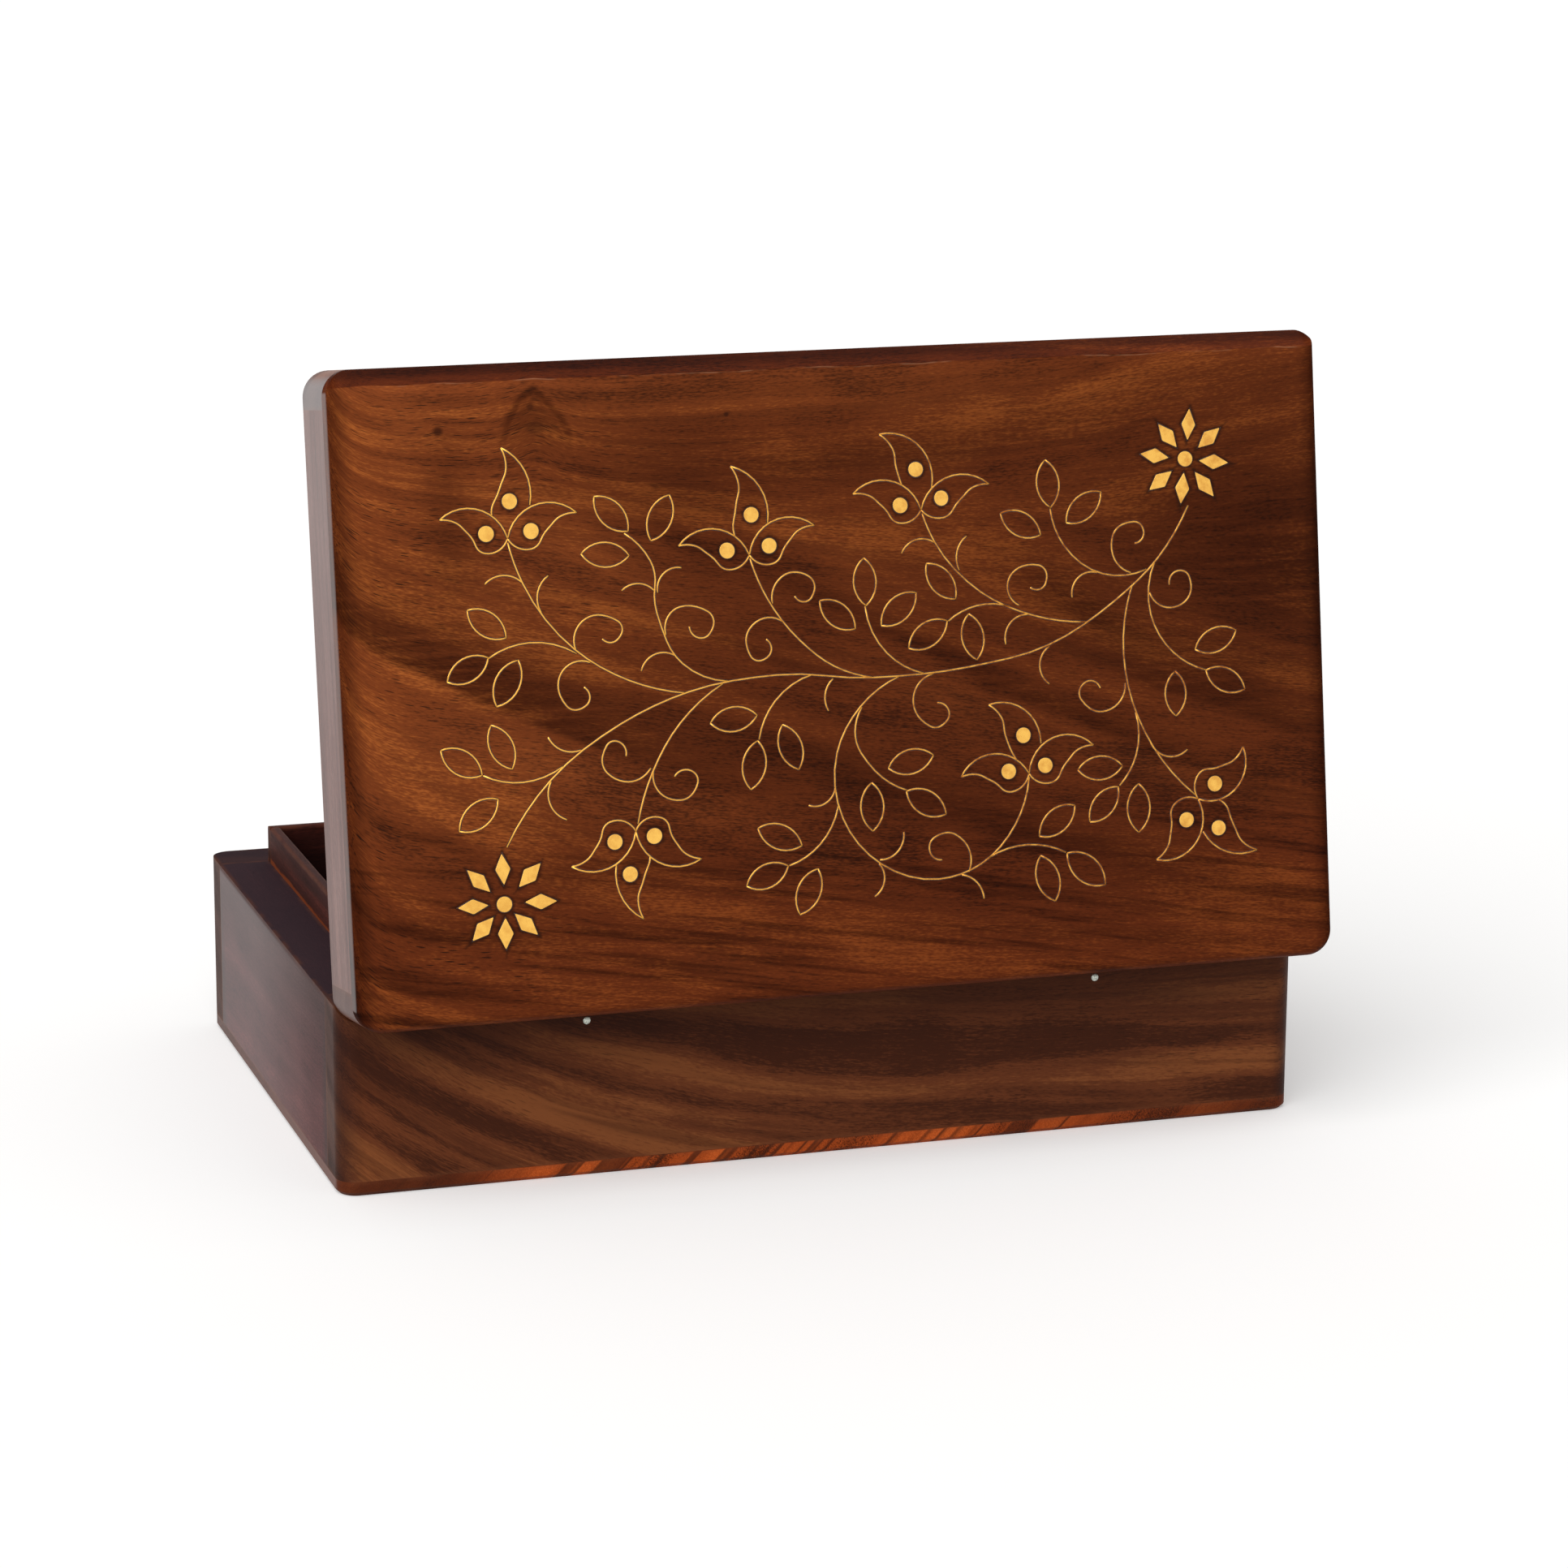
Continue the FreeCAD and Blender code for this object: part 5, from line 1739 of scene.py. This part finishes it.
@dataclass
class BrassInlay:
    """The brass wires, dots and lozenges let into the lid, and the dark filler beside the wires."""

    drawing: VineDrawing
    turn: LidTurn
    effects: Effects
    wire: WireProfile = WireProfile(0.15, 0.15, 0.08, 0.12, 0.012, 0.05)
    filler: WireProfile = WireProfile(0.31, 0.27, 0.24, 0.03, 0.006, 0.012, math.radians(18))
    wire_finish: BrassFinish = BrassFinish("wire_brass", tone(244, 184, 82), tone(154, 86, 32), 0.35, 0.26,
                                           far_dullness_and_shade=1.0, far_end=(-40.0, 75.0))
    plate_finish: BrassFinish = BrassFinish("plate_brass", tone(252, 200, 98), tone(190, 126, 52), 0.5, 0.3,
                                            far_dullness_and_shade=0.7)
    filler_finish: SpeckledFinish = SpeckledFinish("dark_filler", tone(38, 17, 10), tone(66, 30, 15), 1.4,
                                                   (0.0, 0.0, 0.0), 0.5, 0.2)
    dot_radius: float = 1.55
    dot_corners: int = 36
    bed_corners: int = 28
    plate_top: float = 0.06
    plate_depth: float = 0.35
    edge_round: float = 0.05
    lozenge_half_length: float = 3.2
    lozenge_half_width: float = 1.56
    lozenge_round: float = 0.26
    bed_margin: float = 0.12
    bed_top: float = 0.008
    hand: random.Random = field(default_factory=lambda: random.Random(11))

    def build(self) -> None:
        """Build and dress every piece of the inlay."""
        wire_brass = self.wire_finish.material(self.effects)
        plate_brass = self.plate_finish.material(self.effects)
        drawing = self.drawing
        runs = {
            "stem_wire": (drawing.lines([drawing.stem]), 0.01),
            "branch_wires": (drawing.lines(drawing.branches), 0.006),
            "petal_wires": ([wire for flower in drawing.flowers for wire in flower.wires()], 0.004),
            "tendril_wires": (drawing.lines(drawing.curls + drawing.hooks), 0.002),
            "leaf_wires": (drawing.leaf_wires(), 0.0),
        }
        for name, (chains, lift) in runs.items():
            self.settle(self.swept(self.wire, chains, lift), name, wire_brass, "inlay_" + name)
        self.add_filler([chain for chains, _ in runs.values() for chain in chains])
        self.settle(self.dots(drawing.dots()), "flower_dots", plate_brass, "inlay_flower_dots")
        rosettes = {"rear_rosette": drawing.rear_rosette, "front_rosette": drawing.front_rosette}
        for name, rosette in rosettes.items():
            self.settle(self.lozenges(rosette), name + "_lozenges", plate_brass, "inlay_" + name + "_petals")
            self.settle(self.dots([rosette.middle]), name + "_dot", plate_brass, "inlay_" + name + "_centre")

    def settle(self, bm: BMesh, name: str, brass: Material, node: str) -> None:
        """Put a shape on the lid in place of a CAD node.

        Args:
            bm: The shape, on the drawing.
            name: The piece's name.
            brass: What it is made of.
            node: The CAD node that it stands for.
        """
        piece = finished_piece(bm, name, self.turn.from_drawing(), brass)
        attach(piece, Body.LID.value)
        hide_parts(node)

    @staticmethod
    def swept(profile: WireProfile, chains: Iterable[Sequence[Arc]], lift: float) -> BMesh:
        """Lay beads along chains of arcs.

        Args:
            profile: The section of the beads.
            chains: The chains.
            lift: Raises the crowns.

        Returns:
            The beads in one shape.
        """
        bm = bmesh.new()
        for chain in chains:
            profile.sweep(bm, chain, lift)
        return bm

    def add_filler(self, chains: Iterable[Sequence[Arc]]) -> None:
        """Lay the dark filler that shows as a thin line beside every wire, and round the plates.

        Args:
            chains: The arcs of every wire.
        """
        bm = self.swept(self.filler, chains, 0.0)
        wide = self.dot_radius + self.bed_margin
        for spot in self.drawing.spots():
            ring = self.outline(bm, flat(spot), 0.0, (wide, wide), self.bed_corners)
            self.raise_plate(bm, ring, self.bed_top, 0.0)
        size = (self.lozenge_half_length + 2 * self.bed_margin, self.lozenge_half_width + self.bed_margin)
        for middle, angle in self.drawing.lozenges():
            self.raise_plate(bm, self.outline(bm, middle, angle, size, 4), self.bed_top, 0.0)
        piece = finished_piece(bm, "inlay_filler", self.turn.from_drawing(), self.filler_finish.material())
        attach(piece, Body.LID.value)

    def outline(self, bm: BMesh, middle: Vector, turn: float, size: Point, corners: int) -> list[BMVert]:
        """Draw a round or pointed outline at the foot of the plates.

        Args:
            bm: Where it is modelled.
            middle: Its middle on the drawing.
            turn: How far it is turned.
            size: Half its length and half its width.
            corners: How many corners it has.

        Returns:
            Its vertices.
        """
        place = Matrix.Translation(middle - UP * self.plate_depth) @ Matrix.Rotation(turn, 4, "Z")
        place = place @ Matrix.Diagonal((*size, 1.0, 1.0))
        drawn = bmesh.ops.create_circle(bm, cap_ends=False, radius=1.0, segments=corners, matrix=place)
        return drawn["verts"]

    def dots(self, points: Iterable[Point]) -> BMesh:
        """Punched dots with softened rims.

        Args:
            points: Their middles on the drawing.

        Returns:
            The dots in one shape.
        """
        bm = bmesh.new()
        for point in points:
            radius = self.dot_radius * self.hand.uniform(0.97, 1.02)
            turn = self.hand.uniform(0, math.tau)
            size = (radius * self.hand.uniform(0.96, 1.0), radius)
            ring = self.outline(bm, flat(point), turn, size, self.dot_corners)
            self.raise_plate(bm, ring, self.plate_top, self.edge_round)
        return bm

    def lozenges(self, rosette: Rosette) -> BMesh:
        """The lozenges of a rosette, cut by hand and so not quite alike.

        Args:
            rosette: The rosette.

        Returns:
            The lozenges in one shape.
        """
        bm = bmesh.new()
        for middle, angle in rosette.places():
            size = (self.lozenge_half_length * self.hand.uniform(0.95, 1.01),
                    self.lozenge_half_width * self.hand.uniform(0.94, 1.03))
            ring = self.outline(bm, middle, angle + self.hand.uniform(-0.04, 0.04), size, 4)
            self.raise_plate(bm, self.rounded_corners(bm, ring), self.plate_top, self.edge_round)
        return bm

    def rounded_corners(self, bm: BMesh, ring: list[BMVert]) -> list[BMVert]:
        """Round the corners of a flat outline.

        Args:
            bm: Where it is modelled.
            ring: The outline's vertices.

        Returns:
            The vertices of the rounded outline.
        """
        before = set(bm.verts) - set(ring)
        bmesh.ops.bevel(bm, geom=ring, offset=self.lozenge_round, offset_type="OFFSET", segments=4,
                        profile=0.5, affect="VERTICES", material=-1)
        return [vert for vert in bm.verts if vert not in before]

    def raise_plate(self, bm: BMesh, ring: list[BMVert], top: float, soft: float) -> None:
        """Raise a flat outline to a plate.

        Args:
            bm: Where it is modelled.
            ring: The vertices of the outline, at the plate's foot.
            top: How far the plate stands over the lid's face.
            soft: How far its rim is rounded, or 0 to leave it sharp.
        """
        members = set(ring)
        loop = [edge for edge in {edge for vert in ring for edge in vert.link_edges}
                if edge.verts[0] in members and edge.verts[1] in members]
        walls = bmesh.ops.extrude_edge_only(bm, edges=loop)["geom"]
        upper = [item for item in walls if isinstance(item, BMVert)]
        bmesh.ops.translate(bm, verts=upper, vec=UP * (self.plate_depth + top))
        rim = [item for item in walls if isinstance(item, BMEdge) and item.is_boundary]
        crown = bmesh.ops.contextual_create(bm, geom=rim)["faces"]
        bmesh.ops.contextual_create(bm, geom=loop)
        bmesh.ops.recalc_face_normals(bm, faces=bm.faces)
        if soft > 0:
            bmesh.ops.bevel(bm, geom=list(crown[0].edges), offset=soft, offset_type="OFFSET", segments=2,
                            profile=0.5, affect="EDGES", material=-1)


@dataclass
class WallNails:
    """The heads of the two nails that hold the hinges' leaves in the back wall."""

    places: tuple[Point, ...] = ((51.1, 32.3), (-57.0, 32.3))
    radius: float = 0.8
    crown: float = 0.22
    shank: float = 0.5
    wall: float = 63.5
    finish: SpeckledFinish = SpeckledFinish("nail_steel", tone(206, 212, 202), tone(140, 142, 132), 0.3,
                                            (1.0, 2.0, 3.0), 0.28, 0.3, metallic=0.9)

    def build(self) -> None:
        """Build and dress the nail heads."""
        bm = bmesh.new()
        for x, z in self.places:
            self.head(bm, Vector((x, self.wall, z)))
        piece = finished_piece(bm, "wall_nail_heads", Matrix.Scale(MILLIMETRE, 4), self.finish.material())
        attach(piece, Body.BASE.value)

    def head(self, bm: BMesh, place: Vector) -> None:
        """Spin one domed head about its shank.

        Args:
            bm: Where it is modelled.
            place: The middle of the head on the wall.
        """
        dome = ((0.0, 1.0), (0.55, 0.86), (0.9, 0.45), (1.0, 0.0))
        outline = [(self.radius * aside, self.crown * height) for aside, height in dome]
        outline += [(self.radius, -self.shank), (0.0, -self.shank)]
        verts = [bm.verts.new(place + Vector((aside, height, 0.0))) for aside, height in outline]
        edges = [bm.edges.new(pair) for pair in zip(verts, verts[1:])]
        bmesh.ops.spin(bm, geom=verts + edges, cent=place, axis=(0.0, 1.0, 0.0), dvec=(0.0, 0.0, 0.0),
                       angle=math.tau, steps=28, use_merge=True, use_duplicate=False)
        bmesh.ops.remove_doubles(bm, verts=bm.verts, dist=1e-4)


@dataclass
class BoxWood:
    """The wooden boards of the base and the lid."""

    turn: LidTurn
    drawing: VineDrawing
    effects: Effects
    side_tones: WoodTones = WoodTones(
        tone(132, 76, 42), tone(104, 55, 31), tone(67, 33, 19), tone(36, 18, 10))
    flank_tones: WoodTones = WoodTones(
        tone(106, 50, 47), tone(80, 36, 35), tone(52, 22, 22), tone(34, 17, 16))
    lid_tones: WoodTones = WoodTones(
        tone(142, 76, 34), tone(100, 47, 21), tone(54, 23, 10), tone(36, 17, 9))
    rail_tones: WoodTones = WoodTones(
        tone(130, 78, 64), tone(102, 57, 46), tone(68, 36, 29), tone(42, 23, 18))
    bottom_tones: WoodTones = WoodTones(
        tone(206, 97, 42), tone(174, 76, 31), tone(70, 30, 14), tone(48, 22, 11))
    liner_tones: WoodTones = WoodTones(
        tone(86, 38, 29), tone(60, 26, 21), tone(38, 16, 13), tone(24, 13, 11))
    side_start: float = -63.5

    def lid_finishes(self) -> tuple[WoodFinish, WoodFinish, WoodFinish]:
        """The wood of the lid.

        Returns:
            The finishes of the panel, the long rails and the short rails.
        """
        panel = WoodFinish("panel_rosewood", self.lid_tones, GrainLay.PANEL,
                           GrainFlow(bend=6.0, bend_reach=22.0, fan=0.25, fan_middle=34.6, fan_tilt=-0.12,
                                     fan_width=14.0, low_fan=-0.085, low_middle=-28.0, low_width=22.0,
                                     pivot=30.0, slope=-0.015, rake=3.2, wander=12.0, follow=0.4),
                           band_width=12.0, banding=0.42, pores=1.0, seed=1.0, roughness=0.45,
                           sheen_level=0.04, wear=0.25, worn_tone=tone(48, 22, 12), polish=0.8)
        long_rail = WoodFinish("rail_rosewood", self.side_tones, GrainLay.LONG_BOARD,
                               GrainFlow(slope=0.02, rake=0.5, wander=6.0), band_width=8.0, banding=0.5,
                               pores=0.35, seed=15.0, roughness=0.45, sheen_level=0.14)
        short_rail = replace(long_rail, tones=self.rail_tones, lay=GrainLay.SHORT_BOARD,
                             flow=GrainFlow(start=self.side_start, slope=-0.02, rake=0.5, wander=5.0),
                             band_width=6.0, seed=18.0, roughness=0.4, sheen_level=0.38, polish=0.35)
        return panel, long_rail, short_rail

    def wall_finishes(self) -> dict[str, WoodFinish]:
        """The wood of the base's walls.

        Returns:
            The finish of each wall, by the CAD node's name.
        """
        back = WoodFinish("back_rosewood", self.side_tones, GrainLay.LONG_BOARD,
                          GrainFlow(bend=55.0, bend_reach=58.0, slope=0.02, rake=0.5, wander=7.0),
                          banding=0.88, pores=0.5, seed=4.0, roughness=0.5, sheen_level=0.06)
        front = replace(back, name="front_rosewood", banding=0.75, seed=7.0, polish=0.25,
                        flow=GrainFlow(bend=-18.0, bend_reach=70.0, slope=-0.04, rake=0.5))
        flow = GrainFlow(start=self.side_start, bend=8.0, bend_reach=40.0, slope=0.05, rake=0.6, wander=8.0)
        right = replace(back, name="side_rosewood", tones=self.flank_tones, lay=GrainLay.SHORT_BOARD,
                        flow=flow, band_width=10.0, banding=0.35, pores=0.35, seed=9.0, polish=0.46)
        left = replace(right, banding=0.7, seed=12.0,
                       flow=replace(flow, bend=-9.0, bend_reach=35.0, slope=-0.05))
        return {"base_back_wall": back, "base_front_wall": front,
                "base_left_wall": left, "base_right_wall": right}

    def boards(self) -> list[WoodBoard]:
        """Every board with its finish.

        Returns:
            The boards, ready to dress.
        """
        lid = (self.effects, self.turn.closing())
        panel, long_rail, short_rail = self.lid_finishes()
        liner_long = WoodFinish("liner_rosewood", self.liner_tones, GrainLay.LONG_BOARD,
                                GrainFlow(wander=6.0), band_width=9.0, banding=0.8, pores=0.35,
                                seed=21.0, roughness=0.62, sheen_level=0.06)
        liner_short = replace(liner_long, lay=GrainLay.SHORT_BOARD, seed=24.0,
                              flow=GrainFlow(start=self.side_start, wander=6.0))
        bottom = WoodFinish("bottom_rosewood", self.bottom_tones, GrainLay.FLOOR_BOARD,
                            GrainFlow(start=self.side_start, rake=1.0, wander=5.0), band_width=12.0,
                            banding=0.45, pores=0.3, seed=27.0, roughness=0.5, sheen_level=0.05, polish=0.4)
        liners = {"front": liner_long, "back": liner_long, "left": liner_short, "right": liner_short}
        return [
            LidPanel("lid_panel", panel, *lid, self.drawing),
            EndGrainRail("lid_front_rail", long_rail, *lid), BackRail("lid_back_rail", long_rail, *lid),
            ShortRail("lid_left_rail", short_rail, *lid), ShortRail("lid_right_rail", short_rail, *lid),
            *(WallBoard(node, finish, self.effects) for node, finish in self.wall_finishes().items()),
            *(LinerBoard("liner_" + side, finish, self.effects) for side, finish in liners.items()),
            BottomBoard("bottom_panel", bottom, self.effects),
        ]

    def dress(self) -> None:
        """Dress every board."""
        for board in self.boards():
            board.dress()


@dataclass
class Hinges:
    """The brass leaves and steel pins of the hinges."""

    effects: Effects
    leaf_finish: BrassFinish = BrassFinish("hinge_brass", tone(206, 164, 92), tone(140, 98, 50), 0.7, 0.36)
    pin_finish: BrassFinish = BrassFinish("hinge_steel", tone(186, 186, 184), tone(122, 118, 112), 0.6, 0.34)

    def dress(self) -> None:
        """Put the metals on the CAD nodes."""
        brass = self.leaf_finish.material(self.effects)
        steel = self.pin_finish.material(self.effects)
        for name in frame["nodes"]:
            if "hinge" in name:
                dress_node(name, steel if name.startswith("hinge_pin") else brass)


@dataclass
class Studio:
    """The pale floor, the soft light and the camera."""

    eye: Triple = (294.41, 943.66, 305.24)
    yaw: float = 17.890
    pitch: float = 13.815
    roll: float = -0.376
    focal_pixels: float = 5905.0
    picture_pixels: float = 1932.0
    sensor: float = 36.0
    farthest: float = 60.0
    ambient: float = 0.5
    ambient_colour: Colour = (1.0, 0.985, 0.965, 1.0)
    white: Colour = (1.0, 1.0, 1.0, 1.0)
    lamp: float = 2.0
    lamp_softness: float = 60.0
    lamp_from: Triple = (0.55, 0.62, 0.72)
    floor_half: float = 8.0
    floor_bounce: Colour = (0.6, 0.6, 0.6, 1.0)
    floor_colour: Colour = (0.9, 0.9, 0.9, 1.0)
    floor_glow: float = 0.22

    def build(self) -> None:
        """Set up floor, light and camera."""
        self.add_floor()
        self.add_world()
        self.add_lamp()
        self.add_camera()

    @staticmethod
    def show(bench: NodeBench, output: Node, lighting: Signal, shown: Signal) -> None:
        """Use one shader for light, and another where a ray shows the background, straight or reflected.

        Args:
            bench: The bench of the material or the world.
            output: Its output node.
            lighting: The shader that lights the box.
            shown: The shader that is seen.
        """
        path = bench.fed(bench.node("ShaderNodeLightPath"), {})
        seen = path["Is Camera Ray"].at_least(path["Is Glossy Ray"]).at_least(path["Is Transmission Ray"])
        bench.feed(output.inputs["Surface"], bench.made("ShaderNodeMixShader", (seen, lighting, shown)))

    def add_floor(self) -> None:
        """Lay the pale floor, which looks white but keeps the shadow."""
        made, bench, shader = new_material("pale_floor")
        bench.tree.nodes.remove(shader)
        plain = bench.made("ShaderNodeBsdfDiffuse", [self.floor_bounce])
        bright = bench.made("ShaderNodeBsdfDiffuse", [self.floor_colour])
        glow = bench.made("ShaderNodeEmission", (self.white, self.floor_glow))
        shown = bench.made("ShaderNodeAddShader", (bright, glow))
        self.show(bench, bench.tree.nodes["Material Output"], plain, shown)
        bm = bmesh.new()
        bmesh.ops.create_grid(bm, x_segments=1, y_segments=1, size=self.floor_half / MILLIMETRE)
        finished_piece(bm, "floor", Matrix.Scale(MILLIMETRE, 4), made)

    def add_world(self) -> None:
        """Light the scene evenly, with white where the background shows."""
        world = bpy.data.worlds.new("studio")
        world.use_nodes = True
        bpy.context.scene.world = world
        bench = NodeBench(world.node_tree)
        nodes = world.node_tree.nodes
        soft = bench.fed(nodes["Background"], {"Color": self.ambient_colour, "Strength": self.ambient})
        shown = bench.made("ShaderNodeBackground", [self.white])
        self.show(bench, nodes["World Output"], soft["Background"], shown)

    def add_lamp(self) -> None:
        """Add one large soft lamp from above the camera's left."""
        lamp = bpy.data.lights.new("soft_lamp", "SUN")
        lamp.energy = self.lamp
        lamp.angle = math.radians(self.lamp_softness)
        made = bpy.data.objects.new("soft_lamp", lamp)
        made.rotation_euler = Vector(self.lamp_from).to_track_quat("Z", "Y").to_euler()
        bpy.context.scene.collection.objects.link(made)

    def add_camera(self) -> None:
        """Set the camera where the photograph was taken from."""
        yaw, pitch, roll = (math.radians(angle) for angle in (self.yaw, self.pitch, self.roll))
        level_reach = math.cos(pitch)
        ahead = Vector((-math.sin(yaw) * level_reach, -math.cos(yaw) * level_reach, -math.sin(pitch)))
        level = Vector((-math.cos(yaw), math.sin(yaw), 0.0))
        below = ahead.cross(level)
        right = level * math.cos(roll) + below * math.sin(roll)
        down = below * math.cos(roll) - level * math.sin(roll)
        turn = Matrix((right, -down, -ahead)).transposed().to_4x4()
        data = bpy.data.cameras.new("camera")
        data.sensor_width = self.sensor
        data.sensor_fit = "HORIZONTAL"
        data.lens = self.focal_pixels / self.picture_pixels * self.sensor
        data.clip_end = self.farthest
        made = bpy.data.objects.new("camera", data)
        made.matrix_world = Matrix.Translation(Vector(self.eye) * MILLIMETRE) @ turn
        bpy.context.scene.collection.objects.link(made)
        bpy.context.scene.camera = made


def main() -> None:
    """Dress the box, build what the solids leave to the looks, and set the scene."""
    logging.basicConfig(level=logging.INFO, format="%(message)s")
    bpy.context.scene.view_settings.view_transform = "Standard"
    effects = Effects()
    turn = LidTurn.from_frame()
    drawing = VineDrawing()
    BoxWood(turn, drawing, effects).dress()
    Hinges(effects).dress()
    BrassInlay(drawing, turn, effects).build()
    WallNails().build()
    Studio().build()


if __name__ == "__main__":
    main()
